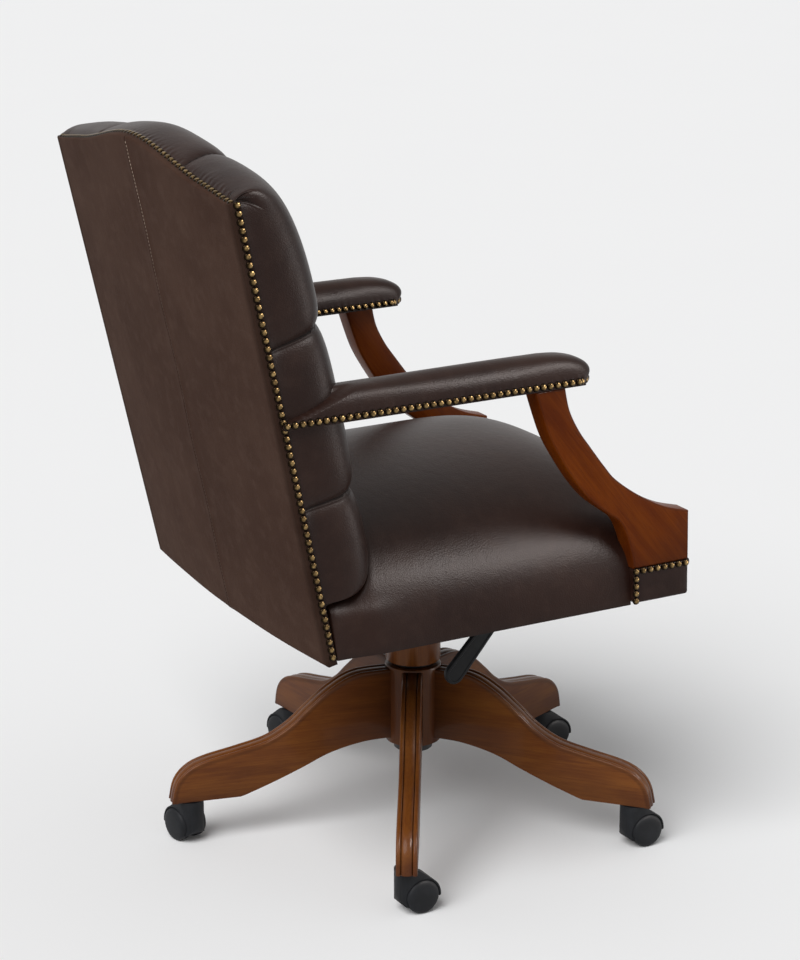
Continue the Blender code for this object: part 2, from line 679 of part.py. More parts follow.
def camel_top(x):
    """Height of the back's top edge: a shoulder at each side and the raised camel between."""
    edge = BACK_HALF_TOP - abs(x)
    return (BACK_SIDE_HEIGHT + SHOULDER_RISE * smooth_share(edge / SHOULDER_RUN)
            + CAMEL_RISE * smooth_share((CAMEL_START_X - abs(x)) / CAMEL_RUN))


def level_y(back_y, level_z):
    """Level-frame y of a plane of the back's frame at a level-frame height."""
    lean = math.radians(BACK_RAKE_DEG)
    up = (level_z - BACK_FOOT_Z + back_y * math.sin(lean)) / math.cos(lean)
    return BACK_FOOT_Y + up * math.sin(lean) + back_y * math.cos(lean)


def back_panel_mesh():
    bm = bmesh.new()
    bmesh.ops.create_grid(bm, x_segments=16, y_segments=8, size=1.0)
    for vert in bm.verts:
        u, v = vert.co.x, vert.co.y
        top = camel_top(u * BACK_HALF_TOP)
        z = top * (v + 1) / 2
        x = u * back_half_width(z)
        bow = PANEL_BOW_BOTTOM + (PANEL_BOW_TOP - PANEL_BOW_BOTTOM) * (v + 1) / 2
        vert.co = (x, bow * (1 - u * u), z)
    bmesh.ops.recalc_face_normals(bm, faces=bm.faces)
    pushed = bmesh.ops.extrude_face_region(bm, geom=list(bm.faces), use_keep_orig=True)["geom"]
    bmesh.ops.translate(bm, vec=(0, -PANEL_THICKNESS, 0),
                        verts=[v for v in pushed if isinstance(v, bmesh.types.BMVert)])
    return finished(bm)


def buttons():
    """(x, z) of each button, row by row from the bottom."""
    spots = []
    for row, count in enumerate(BUTTON_ROWS):
        z = BUTTON_FIRST_ROW + BUTTON_ROW_PITCH * row
        spots += [Vector(((column - (count - 1) / 2) * BUTTON_COLUMN_PITCH, z)) for column in range(count)]
    return spots


def pleats():
    """Pairs of ends: button to its diagonal neighbours, and the outer buttons to the rim."""
    spots = buttons()
    diagonal = math.hypot(BUTTON_COLUMN_PITCH / 2, BUTTON_ROW_PITCH) * 1.05
    pairs = [(a, b) for i, a in enumerate(spots) for b in spots[i + 1:]
             if (a - b).length < diagonal and abs(a.y - b.y) > BUTTON_ROW_PITCH / 2]
    last_row = BUTTON_FIRST_ROW + BUTTON_ROW_PITCH * (len(BUTTON_ROWS) - 1)
    for spot in spots:
        if abs(spot.x) > BUTTON_COLUMN_PITCH * 0.75:
            pairs.append((spot, Vector((math.copysign(BACK_HALF_TOP, spot.x), spot.y))))
        if spot.y > last_row - BUTTON_ROW_PITCH / 2:
            pairs.append((spot, Vector((spot.x * 1.4, BACK_SIDE_HEIGHT + CAMEL_RISE))))
    return pairs


def segment_distance(point, start, end):
    run = end - start
    share = min(max((point - start).dot(run) / run.length_squared, 0.0), 1.0)
    return (point - start - run * share).length


def tuft(point, spots, lines):
    """How far the buttons and pleats draw the pad in at a point of its face."""
    pulls = [BUTTON_DEPTH * math.exp(-((point - spot).length / BUTTON_SPREAD) ** 2) for spot in spots]
    pulls += [PLEAT_DEPTH * math.exp(-(segment_distance(point, *line) / PLEAT_SPREAD) ** 2) for line in lines]
    return max(pulls)


def pad_columns():
    """Grid lines across the pad: eight to a button pitch on its face, then round each side."""
    pitch = BUTTON_COLUMN_PITCH / 8
    flat = [pitch * step for step in range(-10, 11)]
    roll = roll_lines(flat[-1], BACK_HALF_TOP, 6)
    return [-x for x in reversed(roll)] + flat + roll


def pad_rows():
    """Grid lines up the pad: four to a button row, then under its foot and over its top."""
    pitch = BUTTON_ROW_PITCH / 4
    flat = [BUTTON_FIRST_ROW + pitch * step for step in range(4 * len(BUTTON_ROWS) - 3)]
    over = roll_lines(flat[-1], BACK_SIDE_HEIGHT + SHOULDER_RISE, 9)
    return roll_lines(flat[0], PAD_BOTTOM, 5)[::-1] + flat + over


def back_pad_mesh(arms):
    """Buttoned pad that wraps the back's frame, notched where the arms run through to the stiles."""
    spots = buttons()
    lines = pleats()
    rear = -(PANEL_THICKNESS + SOFT_GAP)
    lean = math.tan(math.radians(BACK_RAKE_DEG))
    columns = pad_columns()
    rows = pad_rows()
    top = rows[-1]
    middle = (top + PAD_BOTTOM) / 2

    def shape(u, v):
        across = columns[round((u + 1) / 2 * (len(columns) - 1))]
        level = rows[round((v + 1) / 2 * (len(rows) - 1))]
        share = (level - middle) / (top - middle)
        height_x = crown_height(across / BACK_HALF_TOP, PAD_SIDE_POWER)
        height_z = crown_height(share, PAD_TOP_POWER if share > 0 else PAD_BOTTOM_POWER)
        z = level + (camel_top(across) - top) * smooth_share(share * 2 - 1)
        swell = PAD_TOP_SWELL * smooth_share(share) * math.sqrt(height_z) * min(height_x * 1.5, 1.0)
        x = across / BACK_HALF_TOP * back_half_width(z)
        depth = PAD_DEPTH * height_x * height_z
        depth -= tuft(Vector((x, z)), spots, lines) * smooth_share(depth / PAD_DEPTH * 1.1)
        droop = lean * depth * smooth_share(-share)
        return Vector((x, rear - depth, z + swell - droop))

    pad = creased(pillow(len(columns) - 1, len(rows) - 1, shape))
    pocket_top = STILE_TOP + REST_GAP
    depth = STILE_DEPTH + SOFT_GAP * 2
    front = rear - depth
    wide = STILE_OUTER_X + REST_GAP
    pocket = box((-wide, front, PAD_BOTTOM - STILE_DEPTH * 2), (wide, 0.0, pocket_top))
    crown = prism_y(top_rail_outline(REST_GAP), front, 0.0)
    return combined(pad, [pocket, crown, *arms])


def top_rail_outline(grow=0.0):
    """Camel-topped rail between the stiles, as (x, z)."""
    half = STILE_INNER_X - REST_GAP + grow
    count = 12
    crest = []
    for step in range(count + 1):
        x = half - 2 * half * step / count
        crest.append((x, camel_top(x) - BACK_RAIL_INSET * 2.5 + grow))
    return [(-half, TOP_RAIL_BOTTOM - grow), (half, TOP_RAIL_BOTTOM - grow), *crest]


def prism_y(outline, low_y, high_y):
    """An outline of (x, z) extruded along Y."""
    mesh = prism(outline, -high_y, -low_y)
    mesh.transform(Matrix.Rotation(math.radians(-90), 4, "Z"))
    mesh.transform(Matrix.Rotation(math.pi, 4, "Z"))
    mesh.transform(Matrix.Diagonal((-1.0, -1.0, 1.0, 1.0)))
    return mesh


def stile_box(side, grow=0.0):
    rear = -(PANEL_THICKNESS + SOFT_GAP)
    inner, outer = sorted((side * (STILE_INNER_X - grow), side * (STILE_OUTER_X + grow)))
    return box((inner, rear - STILE_DEPTH - grow, BACK_RAIL_INSET - grow),
               (outer, rear + grow, STILE_TOP + grow))


def to_back_frame(mesh):
    """Moves a level-frame mesh into the back's frame."""
    mesh.transform(back_frame_matrix().inverted())
    return mesh


def back_frame_matrix():
    foot = Matrix.Translation((0.0, BACK_FOOT_Y, BACK_FOOT_Z))
    return foot @ Matrix.Rotation(-math.radians(BACK_RAKE_DEG), 4, "X")


def build_back(seat_frame, wood, leather):
    frame = empty("back_frame", (0.0, BACK_FOOT_Y, BACK_FOOT_Z), -math.radians(BACK_RAKE_DEG), seat_frame)
    frame.matrix_parent_inverse = Matrix.Translation((0, -TILT_Y, -TILT_Z))
    rear = -(PANEL_THICKNESS + SOFT_GAP)
    front = rear - STILE_DEPTH
    for side, word in ((-1, "right"), (1, "left")):
        place(f"back_stile_{word}", stile_box(side), wood, frame)
    place("back_top_rail", prism_y(top_rail_outline(), front, rear), wood, frame)
    half = STILE_INNER_X - REST_GAP
    place("back_bottom_rail", box((-half, front, BACK_RAIL_INSET), (half, rear, BOTTOM_RAIL_TOP)), wood, frame)
    place("back_panel", back_panel_mesh(), leather, frame)
    arms = [to_back_frame(arm_pad_shape(side, SOFT_GAP)) for side in (-1, 1)]
    place("back_pad", back_pad_mesh(arms), leather, frame)


# Arms, in the level frame

def arm_pad_shape(side, grow=0.0):
    """Padded arm: flat under, rounded over, with a rolled nose and a raked rear end at the back's edge."""
    middle = side * (ARM_OUTER_X - ARM_WIDTH / 2)
    half = ARM_WIDTH / 2 + grow
    low = ARM_BOTTOM - grow
    high = ARM_BOTTOM + ARM_HEIGHT + grow - low
    rear_plane = -(PANEL_THICKNESS + SOFT_GAP) + grow

    def shape(u, v):
        place_x, height_x = bulge(u, ARM_SIDE_POWER)
        nose = min((v + 1) / 0.6, 1.0)
        place_y, height_y = bulge(nose - 1, ARM_NOSE_POWER)
        front_y = ARM_FRONT_Y - grow + ARM_NOSE * (1 + place_y)
        z = low + high * height_x * height_y
        if v > 1 - 1e-6:
            z = low
        run = min(max((v + 0.4) / 1.2, 0.0), 1.0)
        y = front_y + (level_y(rear_plane, z) - front_y) * run
        narrow = 1 - 0.35 * (1 - height_y) ** 2
        return Vector((middle + place_x * half * narrow, y, z))

    return pillow(12, 20, shape)


def arm_pad_mesh(side):
    middle = side * (ARM_OUTER_X - ARM_WIDTH / 2)
    half = ARM_RAIL_WIDTH / 2 + REST_GAP
    hollow = prism(arm_rail_outline(REST_GAP, ARM_RAIL_HEIGHT), middle - half, middle + half)
    stile = stile_box(side, REST_GAP)
    stile.transform(back_frame_matrix())
    return combined(arm_pad_shape(side), [hollow, stile])


def arm_rail_outline(grow=0.0, sink=0.0):
    """Side view of the rail inside the arm, cut at the rear to lie against the stile."""
    low = ARM_BOTTOM + REST_GAP - grow - sink
    high = ARM_BOTTOM + REST_GAP + ARM_RAIL_HEIGHT + grow
    stile_front = -(PANEL_THICKNESS + SOFT_GAP) - STILE_DEPTH - REST_GAP + grow
    front = ARM_FRONT_Y + ARM_RAIL_SETBACK - grow
    return [(front, low), (level_y(stile_front, low), low), (level_y(stile_front, high), high), (front, high)]


def support_outline(grow=0.0):
    """Swept support, from under the arm down to the leather block on the seat's corner."""
    top = ARM_BOTTOM - REST_GAP
    low = BLOCK_TOP + REST_GAP
    front = curve_through([(y, top + z) for y, z in SUPPORT_FRONT_EDGE], 2)
    rear = curve_through([(y, top + z) for y, z in SUPPORT_REAR_EDGE], 2)
    outline = front + [(BLOCK_FRONT_Y, low), (BLOCK_REAR_Y, low)] + rear[::-1]
    return grown(outline, grow) if grow else outline


def build_arms(seat_frame, wood, leather):
    level = Matrix.Translation((0, -TILT_Y, -TILT_Z))
    for side, word in ((-1, "right"), (1, "left")):
        place(f"arm_pad_{word}", arm_pad_mesh(side), leather, seat_frame, level)
        middle = side * (ARM_OUTER_X - ARM_WIDTH / 2)
        half = ARM_RAIL_WIDTH / 2
        place(f"arm_rail_{word}", prism(arm_rail_outline(), middle - half, middle + half), wood, seat_frame, level)
        inner, outer = support_reach(side)
        place(f"arm_support_{word}", prism(support_outline(), inner, outer, SUPPORT_EASE), wood, seat_frame, level)
        place(f"arm_block_{word}", box((inner, BLOCK_FRONT_Y, BLOCK_BOTTOM), (outer, BLOCK_REAR_Y, BLOCK_TOP)),
              leather, seat_frame, level)


def support_reach(side, grow=0.0):
    return sorted((side * (RAIL_OUTER_X + REST_GAP - grow),
                   side * (RAIL_OUTER_X + REST_GAP + SUPPORT_THICKNESS + grow)))


# Seat, in the level frame

def seat_height(x_height, y, y_height):
    """Top of the seat: crowned, and rolled down behind to pass under the back pad."""
    crown = (SEAT_CROWN - SEAT_BOTTOM) * x_height * y_height
    tuck = pad_underside() - SOFT_GAP - SEAT_BOTTOM
    start = seat_tuck_y() - SEAT_REAR_ROLL
    fall = smooth_share((y - start) / SEAT_REAR_ROLL)
    return SEAT_BOTTOM + crown + (min(crown, tuck) - crown) * fall


def pad_underside():
    lean = math.radians(BACK_RAKE_DEG)
    return BACK_FOOT_Z + PAD_BOTTOM * math.cos(lean)


def seat_tuck_y():
    """Where the pad's face stands over the seat, less the clearance."""
    return level_y(-(PANEL_THICKNESS + PAD_DEPTH + SOFT_GAP * 2), pad_underside()) - SOFT_GAP


def seat_cushion_mesh():
    """Sprung seat that covers the frame's sides, notched at the front for the supports and their blocks."""
    middle_y = (seat_tuck_y() + SEAT_FRONT_Y) / 2
    front_half = middle_y - SEAT_FRONT_Y
    roll_start = seat_tuck_y() - SEAT_REAR_ROLL
    rear_lines = [middle_y + (roll_start - middle_y) * step / 6 for step in range(7)]
    rear_lines += [roll_start + SEAT_REAR_ROLL * step / 5 for step in range(1, 6)]
    rear_lines += [(seat_tuck_y() + SEAT_REAR_Y) / 2, SEAT_REAR_Y]
    rear_rows = len(rear_lines)

    def shape(u, v):
        place_x, height_x = bulge(u, SEAT_SIDE_POWER)
        if v < 0:
            place_y, height_y = bulge(v, SEAT_FRONT_POWER)
            y = middle_y + front_half * place_y
        else:
            row = min(round(v * rear_rows), rear_rows - 1)
            height_y = 1.0 if v < 1 - 1e-6 else 0.0
            y = rear_lines[row]
        z = seat_height(height_x, y, height_y)
        return Vector((place_x * SEAT_HALF_WIDTH, y, z))

    cushion = pillow(24, rear_rows * 2, shape)
    wide = RAIL_OUTER_X + REST_GAP
    roof = frame_top() + REST_GAP
    hollow = box((-wide, FRONT_RAIL_Y - REST_GAP, SEAT_BOTTOM - RAIL_HEIGHT), (wide, SEAT_REAR_Y * 2, roof))
    behind = box((-STILE_OUTER_X - REST_GAP, seat_tuck_y() + SEAT_REAR_ROLL, SEAT_BOTTOM - RAIL_HEIGHT),
                 (STILE_OUTER_X + REST_GAP, SEAT_REAR_Y * 2, SEAT_CROWN * 2))
    cutters = [hollow, behind]
    for side in (-1, 1):
        inner, outer = support_reach(side, SOFT_GAP)
        far = side * SEAT_HALF_WIDTH * 2
        low, high = min(inner, far), max(outer, far)
        cutters.append(prism(support_outline(SOFT_GAP), low, high))
        cutters.append(box((low, SEAT_FRONT_Y * 2, SEAT_BOTTOM - RAIL_HEIGHT),
                           (high, BLOCK_REAR_Y + SOFT_GAP, BLOCK_TOP + SOFT_GAP * 2)))
    return combined(cushion, cutters)


def frame_top():
    return SEAT_BOTTOM + REST_GAP + RAIL_HEIGHT + REST_GAP + WEBBING_THICKNESS


def build_seat(seat_frame, wood, leather, cloth, webbing, steel):
    level = Matrix.Translation((0, -TILT_Y, -TILT_Z))
    low = SEAT_BOTTOM + REST_GAP
    high = low + RAIL_HEIGHT
    inner = RAIL_OUTER_X - RAIL_THICKNESS
    stile_front = -(PANEL_THICKNESS + SOFT_GAP) - STILE_DEPTH - REST_GAP
    back_inner = level_y(stile_front, low) - RAIL_THICKNESS
    back_outline = [(back_inner, low), (level_y(stile_front, low), low), (level_y(stile_front, high), high),
                    (back_inner, high)]
    front_inner = FRONT_RAIL_Y + RAIL_THICKNESS
    place("seat_rail_back", prism(back_outline, -RAIL_OUTER_X, RAIL_OUTER_X), wood, seat_frame, level)
    place("seat_rail_front", box((-RAIL_OUTER_X, FRONT_RAIL_Y, low), (RAIL_OUTER_X, front_inner, high)),
          wood, seat_frame, level)
    for side, word in ((-1, "right"), (1, "left")):
        near, far = sorted((side * inner, side * RAIL_OUTER_X))
        place(f"seat_rail_{word}", box((near, front_inner + REST_GAP, low), (far, back_inner - REST_GAP, high)),
              wood, seat_frame, level)
    place("seat_board", box((-inner + REST_GAP, front_inner + REST_GAP, low),
                            (inner - REST_GAP, back_inner - REST_GAP, low + BOARD_THICKNESS)),
          wood, seat_frame, level)
    web_low = high + REST_GAP
    place("seat_webbing", box((-RAIL_OUTER_X, FRONT_RAIL_Y, web_low),
                              (RAIL_OUTER_X, back_inner + RAIL_THICKNESS / 2, web_low + WEBBING_THICKNESS)),
          webbing, seat_frame, level)
    place("seat_cushion", seat_cushion_mesh(), leather, seat_frame, level)
    cover_top = SEAT_BOTTOM
    cover_low = cover_top - DUST_COVER_THICKNESS
    place("dust_cover", box((-RAIL_OUTER_X, FRONT_RAIL_Y, cover_low),
                            (RAIL_OUTER_X, back_inner + RAIL_THICKNESS / 2, cover_top)), cloth, seat_frame, level)
    place("seat_plate", seat_plate_mesh(cover_low - REST_GAP), steel, seat_frame, level)


def seat_plate_mesh(top):
    """Pressed plate under the seat with two ears that straddle the housing on the tilt pin."""
    under = top - PLATE_THICKNESS
    plate = box((-PLATE_HALF_WIDTH, PLATE_FRONT_Y, under), (PLATE_HALF_WIDTH, PLATE_REAR_Y, top))
    root = under + PLATE_THICKNESS / 2
    ears = []
    holes = []
    for side in (-1, 1):
        near = HOUSING_HALF_WIDTH + REST_GAP * 2
        inner, outer = sorted((side * near, side * (near + EAR_THICKNESS)))
        outline = [(TILT_Y - EAR_RADIUS * 2, root)]
        for step in range(9):
            angle = math.pi + math.pi * step / 8
            outline.append((TILT_Y + EAR_RADIUS * math.cos(angle), TILT_Z + EAR_RADIUS * math.sin(angle)))
        outline.append((TILT_Y + EAR_RADIUS * 2, root))
        ears.append(prism(outline, inner, outer))
        hole = rod(TILT_PIN_RADIUS + RUN_GAP, -EAR_THICKNESS * 2, EAR_THICKNESS * 2)
        holes.append(turned_to(hole, (1, 0, 0), ((inner + outer) / 2, TILT_Y, TILT_Z)))
    return combined(combined(plate, ears, "UNION"), holes)


clear_scene()
WOOD = material("polished_mahogany", (0.16, 0.050, 0.018), 0.25)
FRAME_WOOD = material("frame_beech", (0.55, 0.40, 0.25), 0.60)
LEATHER = material("dark_brown_leather", (0.040, 0.024, 0.020), 0.42)
BLACK_STEEL = material("black_steel", (0.02, 0.02, 0.022), 0.45, 0.6)
BRIGHT_STEEL = material("bright_steel", (0.60, 0.60, 0.62), 0.25, 1.0)
BLACK_PLASTIC = material("black_plastic", (0.018, 0.019, 0.021), 0.50)
LINING = material("black_lining", (0.015, 0.015, 0.016), 0.90)
WEBBING = material("elastic_webbing", (0.30, 0.26, 0.20), 0.85)

build_base(WOOD, BRIGHT_STEEL, BLACK_STEEL)
build_casters(BLACK_PLASTIC, BLACK_PLASTIC)
build_mechanism(BLACK_STEEL, BRIGHT_STEEL)
build_tension(BLACK_PLASTIC, BRIGHT_STEEL)
build_lever(BLACK_PLASTIC, BRIGHT_STEEL)
SEAT_FRAME = empty("seat_frame", (0.0, TILT_Y, TILT_Z), -math.radians(SEAT_PITCH_DEG))
build_seat(SEAT_FRAME, FRAME_WOOD, LEATHER, LINING, WEBBING, BLACK_STEEL)
build_back(SEAT_FRAME, FRAME_WOOD, LEATHER)
build_arms(SEAT_FRAME, FRAME_WOOD, LEATHER)
for support in ("arm_support_left", "arm_support_right"):
    bpy.data.objects[support].data.materials[0] = WOOD
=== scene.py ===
"""Looks of the gainsborough swivel desk chair: buttoned leather, mahogany, antique nails and the studio.

Metres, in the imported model's frame: +Z up, the chair faces -Y, the origin is on the floor under the column.
"""

import math

import bmesh
import bpy
import numpy as np
from mathutils import Matrix, Vector
from mathutils.bvhtree import BVHTree


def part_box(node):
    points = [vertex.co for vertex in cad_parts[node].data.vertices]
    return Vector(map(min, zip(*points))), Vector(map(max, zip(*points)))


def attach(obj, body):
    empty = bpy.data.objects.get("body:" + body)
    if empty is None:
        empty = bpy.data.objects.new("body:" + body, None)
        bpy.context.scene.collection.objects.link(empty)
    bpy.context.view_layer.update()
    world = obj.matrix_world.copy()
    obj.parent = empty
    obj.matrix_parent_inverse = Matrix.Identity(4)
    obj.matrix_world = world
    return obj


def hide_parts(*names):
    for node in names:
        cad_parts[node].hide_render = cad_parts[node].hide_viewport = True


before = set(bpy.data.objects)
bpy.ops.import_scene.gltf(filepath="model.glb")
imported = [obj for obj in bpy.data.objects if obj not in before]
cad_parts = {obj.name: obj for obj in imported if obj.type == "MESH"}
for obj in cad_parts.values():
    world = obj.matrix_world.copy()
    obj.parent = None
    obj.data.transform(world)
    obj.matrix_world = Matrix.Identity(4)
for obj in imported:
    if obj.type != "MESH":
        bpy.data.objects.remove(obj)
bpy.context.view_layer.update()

# The seat's level frame, and the raked frame of the back
TILT_AXIS = Vector((0.0, -0.045, 0.352))
LEVEL = (Matrix.Translation(TILT_AXIS) @ Matrix.Rotation(-math.radians(1.2), 4, "X")
         @ Matrix.Translation(-TILT_AXIS))
BACK_FOOT = Vector((0.0, 0.2708, 0.3697))
BACK_RAKE = math.radians(10.84)
RAKED_IN_LEVEL = Matrix.Translation(BACK_FOOT) @ Matrix.Rotation(-BACK_RAKE, 4, "X")
RAKED = LEVEL @ RAKED_IN_LEVEL

# Back
BACK_SIDE_HEIGHT = 0.631
BACK_HALF_BOTTOM = 0.284
BACK_HALF_TOP = 0.297
SHOULDER_RISE, SHOULDER_RUN = 0.009, 0.090
CAMEL_RISE, CAMEL_RUN = 0.036, 0.240
PANEL_ROLL = 0.0030
PANEL_BOW = (0.012, 0.006)
PAD_REAR = 0.0075
PAD_LOW = 0.0875
PAD_DEPTH = 0.1105
PAD_SWELL = (0.006, 0.019)
PAD_SIDE_GAP = 0.0015
PAD_HALF, PAD_POWER = 0.2856, 5.5
PANEL_INSIDE = 0.007
PLEAT_DEPTH, PLEAT_SPREAD = 0.013, 0.020
BUTTON_DEPTH, BUTTON_SPREAD = 0.030, 0.030
BUTTON_ROWS = (2, 3, 2, 3, 2)
BUTTON_FIRST_ROW = 0.1145
BUTTON_ROW_PITCH = 0.1105
BUTTON_COLUMN_PITCH = 0.190

# Seat
SEAT_BOTTOM = 0.3772
SEAT_CROWN = 0.5670
SEAT_HALF = 0.2905
SEAT_FRONT = -0.2735
SEAT_TUCK = 0.1585
SEAT_REAR = 0.266
TUCK_TOP = 0.4545

# Arms
ARM_MIDDLE = 0.2704
ARM_HALF = 0.029
ARM_BOTTOM = 0.698
ARM_CROWN = 0.7405
ARM_FRONT = -0.1225
BLOCK = ((0.2650, 0.2990), (-0.2700, -0.1830), (0.3808, 0.4302))

# Trim
NAIL_PITCH = 0.0109
NAIL_RADIUS = 0.0054
NAIL_FLATNESS = 0.66
STITCH_LENGTH, STITCH_RADIUS, STITCH_PITCH = 0.0036, 0.00042, 0.0050


class Shade:
    """A socket of a material that takes part in expressions; each operator adds a Math node."""

    def __init__(self, tree, socket=None):
        self.tree = tree
        self.socket = socket

    def node(self, kind, settings=None, out=0, **inputs):
        """Any node: its settings first, then a value or a link for each socket, named or numbered as _0."""
        made = self.tree.nodes.new("ShaderNode" + kind)
        for key, value in (settings or {}).items():
            if key == "stops":
                self.set_stops(made.color_ramp, value)
            else:
                setattr(made, key, value)
        for key, value in inputs.items():
            socket = made.inputs[int(key[1:])] if key[0] == "_" else made.inputs[key.replace("_", " ")]
            if isinstance(value, Shade):
                self.tree.links.new(value.socket, socket)
            else:
                socket.default_value = value
        return Shade(self.tree, made.outputs[out])

    @staticmethod
    def set_stops(ramp, stops):
        while len(ramp.elements) < len(stops):
            ramp.elements.new(0.5)
        for element, (place, colour) in zip(ramp.elements, stops):
            element.position = place
            element.color = (*colour, 1.0)

    def math(self, operation, *others):
        named = {f"_{index}": value for index, value in enumerate((self, *others))}
        return self.node("Math", {"operation": operation}, **named)

    def other(self, out):
        """Another output of the same node."""
        return Shade(self.tree, self.socket.node.outputs[out])

    def parts(self):
        """X of this vector, with y and z as the node's outputs 1 and 2."""
        return self.node("SeparateXYZ", Vector=self)

    def __add__(self, other):
        return self.math("ADD", other)

    __radd__ = __add__

    def __sub__(self, other):
        return self.math("SUBTRACT", other)

    def __rsub__(self, other):
        return self.node("Math", {"operation": "SUBTRACT"}, _0=other, _1=self)

    def __mul__(self, other):
        return self.math("MULTIPLY", other)

    __rmul__ = __mul__

    def ramp(self, low, high):
        """0 at low and 1 at high, with level ends."""
        return self.node("MapRange", {"interpolation_type": "SMOOTHSTEP"},
                         Value=self, From_Min=low, From_Max=high)

    def mix(self, first, second):
        """Colour from first to second as this value goes from 0 to 1."""
        return self.node("Mix", {"data_type": "RGBA"}, out=2, _0=self, _6=first, _7=second)

    def scaled(self, *shares):
        return self.node("VectorMath", {"operation": "MULTIPLY"}, _0=self, _1=shares)

    def noise(self, scale, detail=3.0, roughness=0.55):
        return self.node("TexNoise", Vector=self, Scale=scale, Detail=detail, Roughness=roughness)

    def cells(self, scale):
        return self.node("TexVoronoi", Vector=self, Scale=scale)

    def attribute(self, name, out=2):
        return self.node("Attribute", {"attribute_name": name}, out=out)

    def bump(self, height, distance, strength=1.0, under=None):
        """Normal of this height; under is a bump that it lies on."""
        inputs = {"Height": height, "Distance": distance, "Strength": strength}
        if under is not None:
            inputs["Normal"] = under
        return self.node("Bump", **inputs)


def finish_of(name, paint, **constants):
    """A Principled material: constants on its sockets, and what varies from paint(shade)."""
    material = bpy.data.materials.new(name)
    material.use_nodes = True
    tree = material.node_tree
    principled = tree.nodes["Principled BSDF"]
    for key, value in constants.items():
        principled.inputs[key.replace("_", " ")].default_value = value
    for key, value in paint(Shade(tree)).items():
        tree.links.new(value.socket, principled.inputs[key.replace("_", " ")])
    return material


def rgb(red, green, blue):
    return (red, green, blue, 1.0)


def object_place(shade):
    return shade.node("TexCoord", out=3)


def leather_paint(low, high, wear_and_sheen_colour, polish):
    """Brown hide: mottled dyed colour, pebbled grain, creases, paler high spots that are partly wear and
    partly painted sheen, painted shade in folds and along pleat lines, and sharp pleats.
    """

    def paint(shade):
        place = object_place(shade)
        mottle = place.noise(7.0, 4.0, 0.6)
        cloud = place.noise(46.0, 3.0)
        fold = shade.attribute("fold")
        rub = shade.attribute("rub")
        dye_and_painted_light = mottle.ramp(0.30, 0.72).mix(low, high)
        dye_and_painted_light = (cloud.ramp(0.45, 0.75) * 0.25).mix(dye_and_painted_light, wear_and_sheen_colour)
        # Paler towards the wear colour on high spots: partly wear, partly painted sheen.
        dye_and_painted_light = (rub * 0.5).mix(dye_and_painted_light, wear_and_sheen_colour)
        pleat = shade.attribute("pleat", out=1).parts()
        held = pleat.other(1)
        # Painted shade line along the bottom of each pleat and of the seam.
        line = (pleat * pleat * -2.2).math("EXPONENT") * held
        trough = (pleat.math("ABSOLUTE") * -0.75).math("EXPONENT") * held
        lip = ((pleat - 1.7) * (pleat - 1.7) * -0.6).math("EXPONENT") * held
        # Painted shade, near black, in folds and along those lines.
        dye_and_painted_light = (fold * 0.7).math("MAXIMUM", line * 0.96).mix(dye_and_painted_light, rgb(0.0030, 0.0019, 0.0016))
        pebble = place.cells(520.0)
        fine = place.noise(900.0, 2.0)
        crease = place.scaled(1.0, 1.0, 0.55).noise(70.0, 5.0, 0.6)
        tack = shade.attribute("tack", out=1).parts()
        gather = (tack * math.tau).math("SINE") * tack.other(1) * cloud.ramp(0.35, 0.65)
        normal = shade.bump(crease, 0.0016, 0.24)
        normal = shade.bump(gather, 0.0016, 1.0, normal)
        normal = shade.bump(lip * 0.5 - trough, 0.0022, 1.0, normal)
        normal = shade.bump(pebble * 0.8 + fine * 0.3, 0.00030, 0.6, normal)
        gloss = polish + mottle * 0.08 + pebble * 0.07 + fold * 0.3 + line * 0.3
        return {"Base_Color": dye_and_painted_light, "Roughness": gloss, "Normal": normal}

    return paint


def wood_paint(pale, warm, dark):
    """Stained and polished mahogany, with painted shade in grooves, slots and along rims, and a darker toning
    that is partly staining, partly painted shade; the grain runs along x of the grain attribute.
    """

    def paint(shade):
        grain = shade.attribute("grain", out=1)
        groove = shade.attribute("groove")
        tone = shade.attribute("tone")
        bend = grain.scaled(2.2, 7.0, 7.0).noise(1.0, 3.0)
        parts = grain.parts()
        rings = ((parts.other(1) * 120.0 + parts.other(2) * 160.0 + bend * 11.0).math("SINE") + 1.0) * 0.5
        fibre = grain.scaled(14.0, 420.0, 420.0).noise(1.0, 4.0, 0.65)
        pores = grain.scaled(55.0, 1500.0, 1500.0).noise(1.0, 2.0).ramp(0.60, 0.72)
        figure = grain.scaled(7.0, 30.0, 30.0).noise(1.0, 4.0)
        stain_and_shade = (rings * 0.12 + fibre * 0.25 + figure * 0.50 + 0.10).ramp(0.15, 0.85).mix(dark, warm)
        stain_and_shade = ((fibre * 0.6 + figure).ramp(0.60, 1.15) * 0.8).mix(stain_and_shade, pale)
        stain_and_shade = (pores * 0.30).mix(stain_and_shade, rgb(0.018, 0.006, 0.003))
        # Darker toning: partly staining, partly painted shade by the hub's slots and under the arms.
        stain_and_shade = (tone * 0.8).mix(stain_and_shade, rgb(0.030, 0.0085, 0.0045))
        # Painted shade, near black, in the reeds' valleys, the hub's slots and along rims.
        stain_and_shade = (groove * 0.92).mix(stain_and_shade, rgb(0.006, 0.0022, 0.0015))
        height = fibre * 0.6 - pores * 0.5
        return {"Base_Color": stain_and_shade, "Roughness": 0.30 + fibre * 0.12 + groove * 0.25,
                "Normal": shade.bump(height, 0.00018, 0.5)}

    return paint


